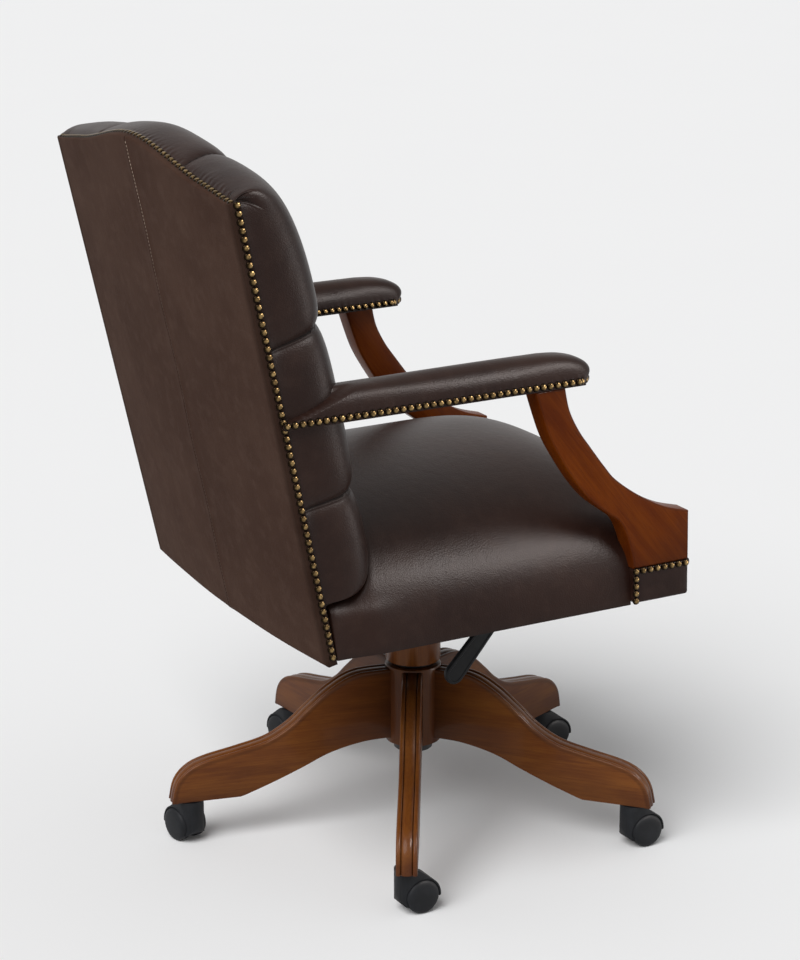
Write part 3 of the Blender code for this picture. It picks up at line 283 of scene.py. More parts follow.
def frame_wood_paint(shade):
    """Sawn beech of the hidden frame."""
    place = object_place(shade)
    fibre = place.scaled(60.0, 60.0, 600.0).noise(1.0, 4.0)
    return {"Base_Color": fibre.ramp(0.3, 0.7).mix(rgb(0.36, 0.23, 0.12), rgb(0.55, 0.39, 0.23)),
            "Roughness": 0.6 + fibre * 0.2, "Normal": shade.bump(fibre, 0.0004, 0.6)}


def brass_paint(shade):
    """Antique brass: rubbed gold on the crown and brown patina round the rim."""
    place = object_place(shade)
    crown = shade.attribute("crown")
    age = place.noise(260.0, 3.0)
    gold = age.ramp(0.3, 0.75).mix(rgb(0.15, 0.094, 0.038), rgb(0.42, 0.285, 0.120))
    metal = (crown + age * 0.20).ramp(0.76, 1.18).mix(rgb(0.014, 0.009, 0.005), gold)
    return {"Base_Color": metal, "Roughness": 0.30 - crown * 0.12 + age * 0.08,
            "Normal": shade.bump(age, 0.0004, 0.35)}


def plastic_paint(dark, pale, rough, grain_scale):
    """Moulded plastic or powder coat with a fine spark-eroded grain and handling marks."""

    def paint(shade):
        place = object_place(shade)
        grain = place.noise(grain_scale, 3.0)
        marks = place.noise(38.0, 4.0)
        colour = marks.ramp(0.35, 0.75).mix(dark, pale)
        return {"Base_Color": colour, "Roughness": rough + marks * 0.12 + grain * 0.06,
                "Normal": shade.bump(grain, 0.00022, 0.6)}

    return paint


def steel_paint(shade):
    """Bright steel with fine turning marks and slightly uneven polish."""
    place = object_place(shade)
    brushed = place.scaled(30.0, 30.0, 900.0).noise(1.0, 2.0)
    smear = place.noise(30.0, 3.0)
    return {"Base_Color": smear.ramp(0.3, 0.7).mix(rgb(0.46, 0.46, 0.47), rgb(0.62, 0.62, 0.63)),
            "Roughness": 0.22 + brushed * 0.16, "Normal": shade.bump(brushed, 0.0002, 0.3)}


def lining_paint(shade):
    """Black woven lining under the seat."""
    place = object_place(shade)
    warp = place.parts()
    weave = (warp * 3600.0).math("SINE") * (warp.other(1) * 3600.0).math("SINE")
    fluff = place.noise(240.0, 3.0)
    return {"Base_Color": fluff.mix(rgb(0.010, 0.010, 0.011), rgb(0.026, 0.026, 0.028)),
            "Roughness": 0.82 + weave * 0.08, "Normal": shade.bump(weave + fluff, 0.0006, 0.7)}


def thread_paint(shade):
    """Tan waxed thread, paler near the top of the back and darker below by painted shade."""
    place = object_place(shade)
    twist = place.noise(1400.0, 2.0)
    # Painted shade: the thread goes dark below the top of the back.
    high = place.parts().other(2).ramp(0.78, 1.0)
    thread = high.mix(rgb(0.060, 0.036, 0.026), rgb(0.48, 0.37, 0.29))
    return {"Base_Color": thread, "Roughness": 0.55 + twist * 0.2, "Normal": shade.bump(twist, 0.0003, 0.6)}


LEATHER = finish_of(
    "dark_brown_hide",
    leather_paint(rgb(0.0150, 0.0058, 0.0040), rgb(0.0240, 0.0102, 0.0070), rgb(0.042, 0.0218, 0.0155),
                  polish=0.30),
    Specular_IOR_Level=0.13)
PANEL_LEATHER = finish_of(
    "plain_brown_hide",
    leather_paint(rgb(0.0440, 0.0228, 0.0160), rgb(0.0600, 0.0335, 0.0242), rgb(0.085, 0.0520, 0.0400),
                  polish=0.60),
    Specular_IOR_Level=0.02)
MAHOGANY = finish_of(
    "polished_mahogany",
    wood_paint(rgb(0.215, 0.073, 0.0115), rgb(0.150, 0.045, 0.0080), rgb(0.088, 0.024, 0.0055)),
    Specular_IOR_Level=0.10, Coat_Weight=0.12, Coat_Roughness=0.09)
SUPPORT_WOOD = finish_of(
    "red_mahogany",
    wood_paint(rgb(0.180, 0.040, 0.0016), rgb(0.130, 0.0240, 0.0011), rgb(0.080, 0.0130, 0.0008)),
    Specular_IOR_Level=0.03, Coat_Weight=0.06, Coat_Roughness=0.12)
BEECH = finish_of("sawn_beech", frame_wood_paint)
BRASS = finish_of("antique_brass", brass_paint, Metallic=1.0)
BLACK_PLASTIC = finish_of(
    "black_moulding",
    plastic_paint(rgb(0.0040, 0.0042, 0.0050), rgb(0.0085, 0.0090, 0.0100), rough=0.40, grain_scale=900.0),
    Specular_IOR_Level=0.18)
CASTER_PLASTIC = finish_of(
    "charcoal_moulding",
    plastic_paint(rgb(0.0058, 0.0064, 0.0078), rgb(0.0115, 0.0125, 0.0150), rough=0.42, grain_scale=800.0),
    Specular_IOR_Level=0.20)
BLACK_STEEL = finish_of(
    "black_powder_coat",
    plastic_paint(rgb(0.010, 0.010, 0.011), rgb(0.019, 0.019, 0.020), rough=0.38, grain_scale=1200.0),
    Metallic=0.25)
STEEL = finish_of("bright_steel", steel_paint, Metallic=1.0)
LINING = finish_of("black_lining", lining_paint)
THREAD = finish_of("waxed_thread", thread_paint)


# Modelling helpers

VERT, EDGE = bmesh.types.BMVert, bmesh.types.BMEdge


def of_kind(geometry, kind):
    return [item for item in geometry if isinstance(item, kind)]


def turned_by(degrees, axis):
    return Matrix.Rotation(math.radians(degrees), 4, axis)


def placed(name, data):
    """An object of the scene with this data."""
    piece = bpy.data.objects.new(name, data)
    bpy.context.scene.collection.objects.link(piece)
    return piece


def aimed(piece, way):
    """Turns a lamp or camera to look along a direction."""
    piece.rotation_mode = "QUATERNION"
    piece.rotation_quaternion = way.to_track_quat("-Z", "Y")


def applied(piece):
    """The piece's mesh with its modifiers applied."""
    return bpy.data.meshes.new_from_object(piece.evaluated_get(bpy.context.evaluated_depsgraph_get()))


def as_mesh(bm, name):
    """The bmesh as a mesh; the bmesh is used up."""
    mesh = bpy.data.meshes.new(name)
    bm.to_mesh(mesh)
    bm.free()
    return mesh


def moved_to(bm, points):
    for vert, point in zip(bm.verts, points):
        vert.co = point


def eased(bm, edges, offset, segments, clamp=True):
    bmesh.ops.bevel(bm, geom=edges, offset=offset, segments=segments, profile=0.5,
                    affect="EDGES", material=-1, clamp_overlap=clamp)


def kept(name, bm, finish, body, stands_for=(), matrix=None, sharp=40.0, recalc=True):
    """Closes the bmesh into a piece that rides on a body, in place in the row's frame."""
    bmesh.ops.remove_doubles(bm, verts=bm.verts, dist=2e-6)
    if recalc:
        bmesh.ops.recalc_face_normals(bm, faces=bm.faces)
    if matrix is not None:
        bmesh.ops.transform(bm, matrix=matrix, verts=bm.verts)
    return kept_mesh(name, as_mesh(bm, name), finish, body, stands_for, sharp)


def kept_mesh(name, mesh, finish, body, stands_for=(), sharp=40.0):
    """A mesh as a piece that rides on a body; sharp is the angle from which its edges stay crisp."""
    mesh.materials.clear()
    mesh.materials.append(finish)
    mesh.shade_smooth()
    if sharp:
        mesh.set_sharp_from_angle(angle=math.radians(sharp))
    piece = placed(name, mesh)
    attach(piece, body)
    if stands_for:
        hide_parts(*stands_for)
    return piece


def carved(mesh, cutters, operation="DIFFERENCE"):
    """The mesh after a Boolean with each cutter's mesh; the cutters are used up."""
    host = placed("host", mesh)
    helpers = [placed("cutter", cutter) for cutter in cutters]
    for helper in helpers:
        step = host.modifiers.new("cut", "BOOLEAN")
        step.operation = operation
        step.object = helper
    result = applied(host)
    for used in [host, *helpers]:
        bpy.data.objects.remove(used)
    return result


def cleaned(bm):
    """Joins points in the same place and turns the faces outwards."""
    bmesh.ops.remove_doubles(bm, verts=bm.verts, dist=2e-6)
    bmesh.ops.recalc_face_normals(bm, faces=bm.faces)


def mesh_of(bm, matrix=None):
    """The cleaned bmesh as a mesh, under a matrix."""
    if matrix is not None:
        bmesh.ops.transform(bm, matrix=matrix, verts=bm.verts)
    cleaned(bm)
    return as_mesh(bm, "shape")


def spun(profile, steps, closed=False):
    """A profile of (radius, z) turned about Z."""
    bm = bmesh.new()
    verts = [bm.verts.new((radius, 0.0, z)) for radius, z in profile]
    ends = verts[1:] + verts[:1] if closed else verts[1:]
    edges = [bm.edges.new(pair) for pair in zip(verts, ends)]
    bmesh.ops.spin(bm, geom=verts + edges, cent=(0, 0, 0), axis=(0, 0, 1), angle=math.tau,
                   steps=steps, use_merge=True)
    cleaned(bm)
    return bm


def pushed_out(outline, way):
    """A prism: the flat outline's face pushed along a vector."""
    bm = bmesh.new()
    face = bm.faces.new([bm.verts.new(point) for point in outline])
    pushed = bmesh.ops.extrude_face_region(bm, geom=[face])["geom"]
    bmesh.ops.translate(bm, vec=way, verts=of_kind(pushed, VERT))
    return bm


def swept(outline, low_x, high_x, ease=0.0, segments=3):
    """An outline of (y, z) extruded along X, with eased rims."""
    bm = pushed_out([(low_x, y, z) for y, z in outline], (high_x - low_x, 0, 0))
    bmesh.ops.recalc_face_normals(bm, faces=bm.faces)
    if ease:
        eased(bm, [e for e in bm.edges if abs(e.verts[0].co.x - e.verts[1].co.x) < 1e-6], ease, segments)
    return bm


def block(low, high, ease, segments=3):
    """A box with every edge rounded."""
    bm = bmesh.new()
    size = Vector(high) - Vector(low)
    middle = (Vector(high) + Vector(low)) / 2
    bmesh.ops.create_cube(bm, size=1.0, matrix=Matrix.Translation(middle) @ Matrix.Diagonal((*size, 1.0)))
    if ease:
        eased(bm, list(bm.edges), ease, segments)
    return bm


def add_copy(bm, source, matrix=Matrix.Identity(4)):
    """Adds a copy of a mesh to the bmesh under a matrix."""
    before = len(bm.verts)
    bm.from_mesh(source)
    bm.verts.ensure_lookup_table()
    bmesh.ops.transform(bm, matrix=matrix, verts=bm.verts[before:])


def set_layer(bm, name, values, kind="float"):
    """Stores a value per vertex, for the finishes."""
    layers = bm.verts.layers.float_vector if kind == "vector" else bm.verts.layers.float
    layer = layers.get(name) or layers.new(name)
    for vert, value in zip(bm.verts, values):
        vert[layer] = value


def grain_along(bm, matrix=None):
    """Lays the wood's grain along x of the given frame, or of the bmesh itself."""
    turn = matrix or Matrix.Identity(4)
    set_layer(bm, "grain", [turn @ vert.co for vert in bm.verts], "vector")


def curve_through(points, per_span):
    """A smooth line through the points."""
    padded = [points[0], *points, points[-1]]
    line = []
    for before, start, end, after in zip(padded, padded[1:], padded[2:], padded[3:]):
        for step in range(per_span):
            t = step / per_span
            line.append(tuple(
                ((2 * b) + (c - a) * t + (2 * a - 5 * b + 4 * c - d) * t * t
                 + (3 * b - a - 3 * c + d) * t ** 3) / 2
                for a, b, c, d in zip(before, start, end, after)))
    line.append(tuple(points[-1]))
    return line


def walked(line, pitch):
    """Points and directions along a line of points, a pitch apart, from end to end."""
    points = [Vector(p) for p in line]
    runs = [(b - a).length for a, b in zip(points, points[1:])]
    total = sum(runs)
    count = max(int(round(total / pitch)), 1)
    result = []
    for index in range(count + 1):
        goal = total * index / count
        for a, b, run in zip(points, points[1:], runs):
            if goal <= run + 1e-9 or b is points[-1]:
                share = min(goal / run, 1.0) if run else 0.0
                result.append((a.lerp(b, share), (b - a).normalized()))
                break
            goal -= run
    return result


def smooth_share(value):
    """0 below 0 and 1 above 1, with a smooth rise between."""
    held = np.clip(value, 0.0, 1.0)
    return held * held * (3 - 2 * held)


def roll_table(half, depth, power):
    """Length share, place and height along a rounded crown, evenly spaced along its skin."""
    angle = np.linspace(0.0, math.pi / 2, 900)
    place = np.sin(angle) ** (2 / power)
    height = np.cos(angle).clip(0.0) ** (2 / power)
    run = np.concatenate([[0.0], np.cumsum(np.hypot(np.diff(place) * half, np.diff(height) * depth))])
    return run / run[-1], place, height


def rolled(t, table):
    """Place and height on a rounded crown at a share t of its skin, -1 to 1."""
    share, place, height = table
    return (np.sign(t) * np.interp(np.abs(t), share, place), np.interp(np.abs(t), share, height))


def share_at(place, table):
    """Where along the skin a place lies."""
    return np.sign(place) * np.interp(np.abs(place), table[1], table[0])


def grid_form(cells_u, cells_v, form):
    """A bmesh grid moved to form(u, v), with its corner points dissolved."""
    bm = bmesh.new()
    bmesh.ops.create_grid(bm, x_segments=cells_u, y_segments=cells_v, size=1.0)
    flat = np.array([v.co[:2] for v in bm.verts])
    moved_to(bm, form(flat[:, 0], flat[:, 1]))
    bmesh.ops.dissolve_verts(bm, verts=[v for v in bm.verts if len(v.link_faces) == 1])
    bm.normal_update()
    return bm


CLOTH_FRAMES = 20
CLOTH_STIFFNESS = 12.0
CLOTH_SETTINGS = {
    "quality": 4, "mass": 0.35, "bending_stiffness": 1.5, "tension_stiffness": CLOTH_STIFFNESS,
    "compression_stiffness": CLOTH_STIFFNESS, "shear_stiffness": CLOTH_STIFFNESS * 0.6,
    "vertex_group_mass": "pins", "pin_stiffness": 1.0, "use_pressure": True, "uniform_pressure_force": 3.0}


def inflated(bm, held, cap):
    """The bmesh after a short cloth simulation under pressure; held gives each vertex's pin, 0 to 1."""
    mesh = as_mesh(bm, "stuffed")
    before = np.empty(len(mesh.vertices) * 3, np.float32)
    mesh.vertices.foreach_get("co", before)
    piece = placed("stuffed", mesh)
    pins = piece.vertex_groups.new(name="pins")
    for index, weight in enumerate(held):
        pins.add([index], float(weight), "REPLACE")
    cloth = piece.modifiers.new("cloth", "CLOTH")
    for key, value in CLOTH_SETTINGS.items():
        setattr(cloth.settings, key, value)
    cloth.settings.effector_weights.gravity = 0.0
    cloth.collision_settings.use_collision = False
    cloth.collision_settings.use_self_collision = False
    cloth.point_cache.frame_start = 1
    cloth.point_cache.frame_end = CLOTH_FRAMES
    scene = bpy.context.scene
    for step in range(1, CLOTH_FRAMES + 1):
        scene.frame_set(step)
    evaluated = piece.evaluated_get(bpy.context.evaluated_depsgraph_get())
    after = np.empty_like(before)
    evaluated.data.vertices.foreach_get("co", after)
    move = (after - before).reshape(-1, 3)
    length = np.linalg.norm(move, axis=1, keepdims=True)
    move *= np.minimum(1.0, cap / np.maximum(length, 1e-9))
    mesh = mesh.copy()
    mesh.vertices.foreach_set("co", (before.reshape(-1, 3) + move).ravel())
    scene.frame_set(1)
    bpy.data.objects.remove(piece)
    return mesh


def subdivided(mesh, thin=0.0):
    """One smooth subdivision without faces of an area below thin; a flat fan then fills the rim."""
    piece = placed("subdivided", mesh)
    step = piece.modifiers.new("finer", "SUBSURF")
    step.levels = 1
    step.render_levels = 1
    result = applied(piece)
    bpy.data.objects.remove(piece)
    bm = bmesh.new()
    bm.from_mesh(result)
    bmesh.ops.collapse(bm, edges=list({e for f in bm.faces if f.calc_area() < thin for e in f.edges}))
    fill = bmesh.ops.edgeloop_fill(bm, edges=[e for e in bm.edges if e.is_boundary])
    bmesh.ops.poke(bm, faces=fill["faces"])
    return mesh_of(bm)


def points_of(mesh, field="co"):
    flat = np.empty(len(mesh.vertices) * 3)
    mesh.vertices.foreach_get(field, flat)
    return flat.reshape(-1, 3)


def set_points(mesh, points):
    mesh.vertices.foreach_set("co", np.ascontiguousarray(points, np.float32).ravel())
    mesh.update()


def store(mesh, name, values, kind="FLOAT"):
    """A value per vertex on a mesh, for the finishes."""
    layer = mesh.attributes.new(name, kind, "POINT")
    field = "vector" if kind == "FLOAT_VECTOR" else "value"
    layer.data.foreach_set(field, np.ascontiguousarray(values, np.float32).ravel())


def nearest_on_line(points, line):
    """For each point: distance to a line, the share along it, the offset from it and its direction."""
    best = np.full(len(points), 1e9)
    share = np.zeros(len(points))
    offset = np.zeros_like(points)
    way = np.zeros_like(points)
    count = len(line) - 1
    for index, (a, b) in enumerate(zip(line, line[1:])):
        run = b - a
        t = np.clip((points - a) @ run / max(run @ run, 1e-12), 0.0, 1.0)
        gap = points - a - t[:, None] * run
        length = np.linalg.norm(gap, axis=1)
        closer = length < best
        best[closer] = length[closer]
        share[closer] = (index + t[closer]) / count
        offset[closer] = gap[closer]
        way[closer] = run / max(np.linalg.norm(run), 1e-9)
    return best, share, offset, way


# Back

def back_half(z):
    """Half the back's width at a height."""
    return BACK_HALF_BOTTOM + (BACK_HALF_TOP - BACK_HALF_BOTTOM) * z / BACK_SIDE_HEIGHT


def camel_top(x):
    """Height of the back's top edge."""
    edge = BACK_HALF_TOP - np.abs(x)
    return (BACK_SIDE_HEIGHT + SHOULDER_RISE * smooth_share(edge / SHOULDER_RUN)
            + CAMEL_RISE * smooth_share((CAMEL_RUN - np.abs(x)) / CAMEL_RUN))


PAD_ACROSS = roll_table(0.292, PAD_DEPTH, PAD_POWER)
PAD_TOP = roll_table(0.29, PAD_DEPTH, 3.4)
PAD_FOOT = roll_table(0.29, PAD_DEPTH, 8.0)


def pad_form(u, v):
    """Skin of the back pad before it is buttoned, in the back's frame."""
    place_x, height_x = rolled(u, PAD_ACROSS)
    top_z, top_height = rolled(v, PAD_TOP)
    foot_z, foot_height = rolled(v, PAD_FOOT)
    upper = v >= 0
    place_z = np.where(upper, top_z, foot_z)
    height_z = np.where(upper, top_height, foot_height)
    top = camel_top(place_x * BACK_HALF_TOP)
    z = (top + PAD_LOW) / 2 + place_z * (top - PAD_LOW) / 2
    x = place_x * (back_half(z) - PAD_SIDE_GAP)
    depth = PAD_DEPTH * height_x * height_z
    rise = PAD_SWELL[0] + (PAD_SWELL[1] - PAD_SWELL[0]) * smooth_share((np.abs(x) - 0.03) / 0.17)
    swell = rise * smooth_share(v) * height_z ** 0.42 * np.minimum(height_x * 1.6, 1.0)
    droop = math.tan(BACK_RAKE) * depth * smooth_share(-v)
    return np.stack([x, -PAD_REAR - depth, z + swell - droop], 1)


def pad_uv(x, z):
    """Grid place of a point of the pad's face."""
    top = camel_top(x)
    place_z = (z - (top + PAD_LOW) / 2) / ((top - PAD_LOW) / 2)
    u = share_at(x / (back_half(z) - PAD_SIDE_GAP), PAD_ACROSS)
    v = np.where(place_z >= 0, share_at(place_z, PAD_TOP), share_at(place_z, PAD_FOOT))
    return float(u), float(v)


def button_places():
    """(x, z) of each button, bottom row first."""
    spots = []
    for row, count in enumerate(BUTTON_ROWS):
        z = BUTTON_FIRST_ROW + BUTTON_ROW_PITCH * row
        spots += [((column - (count - 1) / 2) * BUTTON_COLUMN_PITCH, z) for column in range(count)]
    return spots


def pad_line(start, end, steps=10):
    """Points of the pad's skin on a straight run between two grid places."""
    t = np.linspace(0.0, 1.0, steps)
    return pad_form(start[0] + (end[0] - start[0]) * t, start[1] + (end[1] - start[1]) * t)


def pleat_lines():
    """(skin line, strength at its start and end) for each pleat: the diamonds, then those to the rim."""
    spots = button_places()
    lines = []
    reach = math.hypot(BUTTON_COLUMN_PITCH / 2, BUTTON_ROW_PITCH) * 1.05
    for index, first in enumerate(spots):
        for second in spots[index + 1:]:
            if math.dist(first, second) < reach and abs(first[1] - second[1]) > 0.01:
                t = np.linspace(0.0, 1.0, 7)
                xs = first[0] + (second[0] - first[0]) * t
                zs = first[1] + (second[1] - first[1]) * t
                uv = np.array([pad_uv(x, z) for x, z in zip(xs, zs)])
                lines.append((pad_form(uv[:, 0], uv[:, 1]), 1.0, 1.0))
    first_z, last_z = spots[0][1], spots[-1][1]
    for x, z in spots:
        u, v = pad_uv(x, z)
        if abs(x) > BUTTON_COLUMN_PITCH * 0.75:
            lines.append((pad_line((u, v), (math.copysign(0.99, x), v - 0.012)), 1.0, 0.40))
        if z == last_z:
            lines.append((pad_line((u, v), (u * 1.53, 0.99)), 0.8, 0.22))
        if z == first_z:
            lines.append((pad_line((u, v), (u * 1.05, -0.97)), 1.0, 0.6))
    for side in (-1, 1):
        lines.append((pad_line((side * 0.81, 0.86), (side * 0.99, 0.975), 6), 0.12, 0.3))
        lines.append((pad_line((side * 0.86, 0.74), (side * 0.99, 0.955), 6), 0.10, 0.4))
    return lines


def buttoned(points, normals, lines):
    """The points drawn in along the pleats and at the buttons, and how far."""
    pull = np.zeros(len(points))
    for line, first, last in lines:
        gap, share, offset = nearest_on_line(points, line)[:3]
        lip = np.where(offset[:, 2] > 0, 0.7, 1.25) * PLEAT_SPREAD
        pull = np.maximum(pull, PLEAT_DEPTH * (first + (last - first) * share) * np.exp(-gap / lip))
    for x, z in button_places():
        uv = pad_uv(x, z)
        spot = pad_form(np.array([uv[0]]), np.array([uv[1]]))[0]
        gap = np.linalg.norm(points - spot, axis=1)
        pull = np.maximum(pull, BUTTON_DEPTH * np.exp(-(gap / BUTTON_SPREAD) ** 1.3))
    return points - normals * pull[:, None], pull


def build_back_pad():
    """Deep-buttoned pad: drawn in before the simulation, then sharpened along the pleats after it."""
    lines = pleat_lines()
    bm = grid_form(104, 112, pad_form)
    mesh = bpy.data.meshes.new("pad")
    bm.to_mesh(mesh)
    points, normals = points_of(mesh), points_of(mesh, "normal")
    drawn, pull = buttoned(points, normals, lines)
    fade = smooth_share((-PAD_REAR - points[:, 1]) / 0.02)
    moved_to(bm, points + (drawn - points) * fade[:, None])
    held = np.clip(pull / PLEAT_DEPTH, 0.0, 1.0) ** 1.5
    held = np.maximum(held, 1 - smooth_share((-PAD_REAR - points[:, 1]) / 0.035))
    mesh = subdivided(inflated(bm, held, cap=0.007), thin=1e-9)
    points, normals = points_of(mesh), points_of(mesh, "normal")
    pull = np.zeros(len(points))
    best = np.full(len(points), 1.0)
    pleat = np.zeros((len(points), 3))
    for line, first, last in lines:
        gap, share, offset, way = nearest_on_line(points, line)
        strength = np.where(min(first, last) < 0.2, np.clip(share * 1.8, 0.0, 0.85), 1.0)
        inward = np.sum(offset * normals, axis=1)
        skin = np.where(gap < 0.045, np.sqrt(np.maximum(gap ** 2 - inward ** 2, 0.0)), 1.0)
        sideways = np.where(np.sum(offset * np.cross(normals, way), axis=1) < 0, -1000.0, 1000.0)
        pull = np.maximum(pull, 0.0030 * strength * np.exp(-skin / 0.0040))
        nearer = skin < best
        best[nearer] = skin[nearer]
        pleat[nearer, 0] = (sideways * skin)[nearer]
        pleat[nearer, 1] = (strength * (1 - smooth_share((skin - 0.005) / 0.004)))[nearer]
    store(mesh, "pleat", pleat, "FLOAT_VECTOR")
    # Painted shade along the pleat lines.
    fold = pleat[:, 1] * np.exp(-(best / 0.0035) ** 2) * 0.5
    fade = smooth_share((-PAD_REAR - points[:, 1]) / 0.006)
    set_points(mesh, points - normals * (pull * fade)[:, None])
    store(mesh, "fold", fold)
    rim_gap = -PAD_REAR - points[:, 1]
    along_rim = np.where(np.abs(points[:, 0]) > back_half(points[:, 2]) - 0.02, points[:, 2], points[:, 0])
    near = 0.24 * np.exp(-np.clip(rim_gap - 0.006, 0.0, 1.0) / 0.0045)
    store(mesh, "tack", np.stack([along_rim / NAIL_PITCH, near, near * 0.0], 1), "FLOAT_VECTOR")
    # Paler on the pad's front away from the folds: partly wear, partly painted sheen.
    store(mesh, "rub", smooth_share((rim_gap - 0.09) / 0.03) * (1 - fold) * 0.5)
    mesh.transform(RAKED)
    pad = kept_mesh("back_pad_leather", mesh, LEATHER, "seat", ("back_pad",), sharp=0)
    build_buttons(mesh)


def build_buttons(mesh):
    """A leather-covered button in each dimple, seated on the pad's skin."""
    inverse = RAKED.inverted()
    tree = BVHTree.FromPolygons([v.co.copy() for v in mesh.vertices],
                                [tuple(p.vertices) for p in mesh.polygons])
    shape = as_mesh(spun([(0.0, 0.0062), (0.0045, 0.0057), (0.0085, 0.0040), (0.0108, 0.0012),
                          (0.0112, -0.0012), (0.0100, -0.0030), (0.0, -0.0030)], 20), "button")
    bm = bmesh.new()
    for x, z in button_places():
        start = RAKED @ Vector((x, -0.3, z))
        hit = tree.ray_cast(start, (RAKED.to_3x3() @ Vector((0, 1, 0))).normalized())[0]
        dimple = inverse @ hit
        add_copy(bm, shape, Matrix.Translation((x, dimple.y - 0.0005, z)) @ turned_by(90, "X"))
    kept("back_buttons", bm, LEATHER, "seat", matrix=RAKED, sharp=0)


def panel_points(u, v):
    """Outer skin of the back panel inside its rolled edge."""
    top = camel_top(u * BACK_HALF_TOP) - PANEL_ROLL
    z = PANEL_ROLL + (top - PANEL_ROLL) * (v + 1) / 2
    x = u * (back_half(z) - PANEL_ROLL)
    bow = PANEL_BOW[0] + (PANEL_BOW[1] - PANEL_BOW[0]) * (v + 1) / 2
    ripple = 0.0007 * np.sin(z * 31.0 + x * 9.0) * np.sin(x * 17.0 + 1.3)
    return np.stack([x, bow * (1 - u * u) + ripple * (1 - u * u), z], 1)


def build_back_panel():
    """Leather outside back: a bowed sheet with a seam in the middle; its edge rolls forwards to the nails."""
    bm = bmesh.new()
    bmesh.ops.create_grid(bm, x_segments=96, y_segments=96, size=1.0)
    flat = np.array([v.co[:2] for v in bm.verts])
    flat[:, 0] *= 0.12 + 0.88 * np.abs(flat[:, 0])
    points = panel_points(flat[:, 0], flat[:, 1])
    seam = np.abs(points[:, 0])
    points[:, 1] += 0.0008 * np.exp(-(seam / 0.008) ** 2) - 0.0010 * np.exp(-(seam / 0.0011) ** 2)
    moved_to(bm, points)
    bmesh.ops.recalc_face_normals(bm, faces=bm.faces)
    outward = {v: Vector((math.copysign(1.0 if abs(abs(u) - 1) < 1e-6 else 0.0, u), 0.0,
                          math.copysign(1.0 if abs(abs(w) - 1) < 1e-6 else 0.0, w)))
               for v, (u, w) in zip(list(bm.verts), flat)}
    rim = [e for e in bm.edges if e.is_boundary]
    rings = 5
    for step in range(1, rings + 1):
        angle = math.pi / 2 * step / rings
        pushed = bmesh.ops.extrude_edge_only(bm, edges=rim)["geom"]
        rim = of_kind(pushed, EDGE)
        known = {}
        for vert in of_kind(pushed, VERT):
            source = min((e.other_vert(vert) for e in vert.link_edges if e.other_vert(vert) in outward),
                         key=lambda v: (v.co - vert.co).length)
            known[vert] = outward[source]
        last = math.pi / 2 * (step - 1) / rings
        for vert, way in known.items():
            vert.co += way * (PANEL_ROLL * (math.sin(angle) - math.sin(last)))
            vert.co.y -= PANEL_ROLL * (math.cos(last) - math.cos(angle))
        outward = known
    pushed = bmesh.ops.extrude_edge_only(bm, edges=rim)["geom"]
    bmesh.ops.translate(bm, vec=(0, -0.0115, 0), verts=of_kind(pushed, VERT))
    bmesh.ops.edgeloop_fill(bm, edges=[e for e in bm.edges if e.is_boundary])
    # A painted shade line in the seam's hollow.
    set_layer(bm, "pleat", [(v.co.x * 1300.0, 0.75 if abs(v.co.x) < 0.012 and v.co.y > -0.002 else 0.0, 0.0)
                            for v in bm.verts], "vector")
    # Painted shade on the rolled edge beside the nails.
    set_layer(bm, "fold", [0.62 * math.exp(-((abs(v.co.x) - back_half(v.co.z) + 0.002) / 0.0075) ** 2)
                           for v in bm.verts])
    kept("back_panel_leather", bm, PANEL_LEATHER, "seat", ("back_panel",), RAKED, sharp=0)
    build_stitches()


def build_stitches():
    """A row of thread stitches, low rounded bars, beside the seam of the outside back."""
    bm = bmesh.new()
    bmesh.ops.create_uvsphere(bm, u_segments=6, v_segments=5, radius=1.0)
    bmesh.ops.scale(bm, vec=(STITCH_LENGTH / 2, STITCH_RADIUS, STITCH_RADIUS), verts=bm.verts)
    stitch = as_mesh(bm, "stitch")
    line = []
    for v in np.linspace(-0.985, 0.985, 60):
        point = panel_points(np.array([-0.0062 / 0.29]), np.array([v]))[0]
        line.append((-0.0024, point[1] + 0.0008, point[2]))
    row = bmesh.new()
    for spot, way in walked(line, STITCH_PITCH):
        add_copy(row, stitch, Matrix.Translation(spot) @ way.to_track_quat("X", "Y").to_matrix().to_4x4())
    kept("back_seam_stitches", row, THREAD, "seat", matrix=RAKED, sharp=0)


# Seat

def rear_plane(z):
    """Level-frame y of the panel's inner plane at a height."""
    up = (z - BACK_FOOT.z - PANEL_INSIDE * math.sin(BACK_RAKE)) / math.cos(BACK_RAKE)
    return BACK_FOOT.y + up * math.sin(BACK_RAKE) - PANEL_INSIDE * math.cos(BACK_RAKE)


SEAT_ACROSS = roll_table(SEAT_HALF, SEAT_CROWN - SEAT_BOTTOM, 2.4)
SEAT_NOSE = roll_table(0.21, SEAT_CROWN - SEAT_BOTTOM, 2.9)


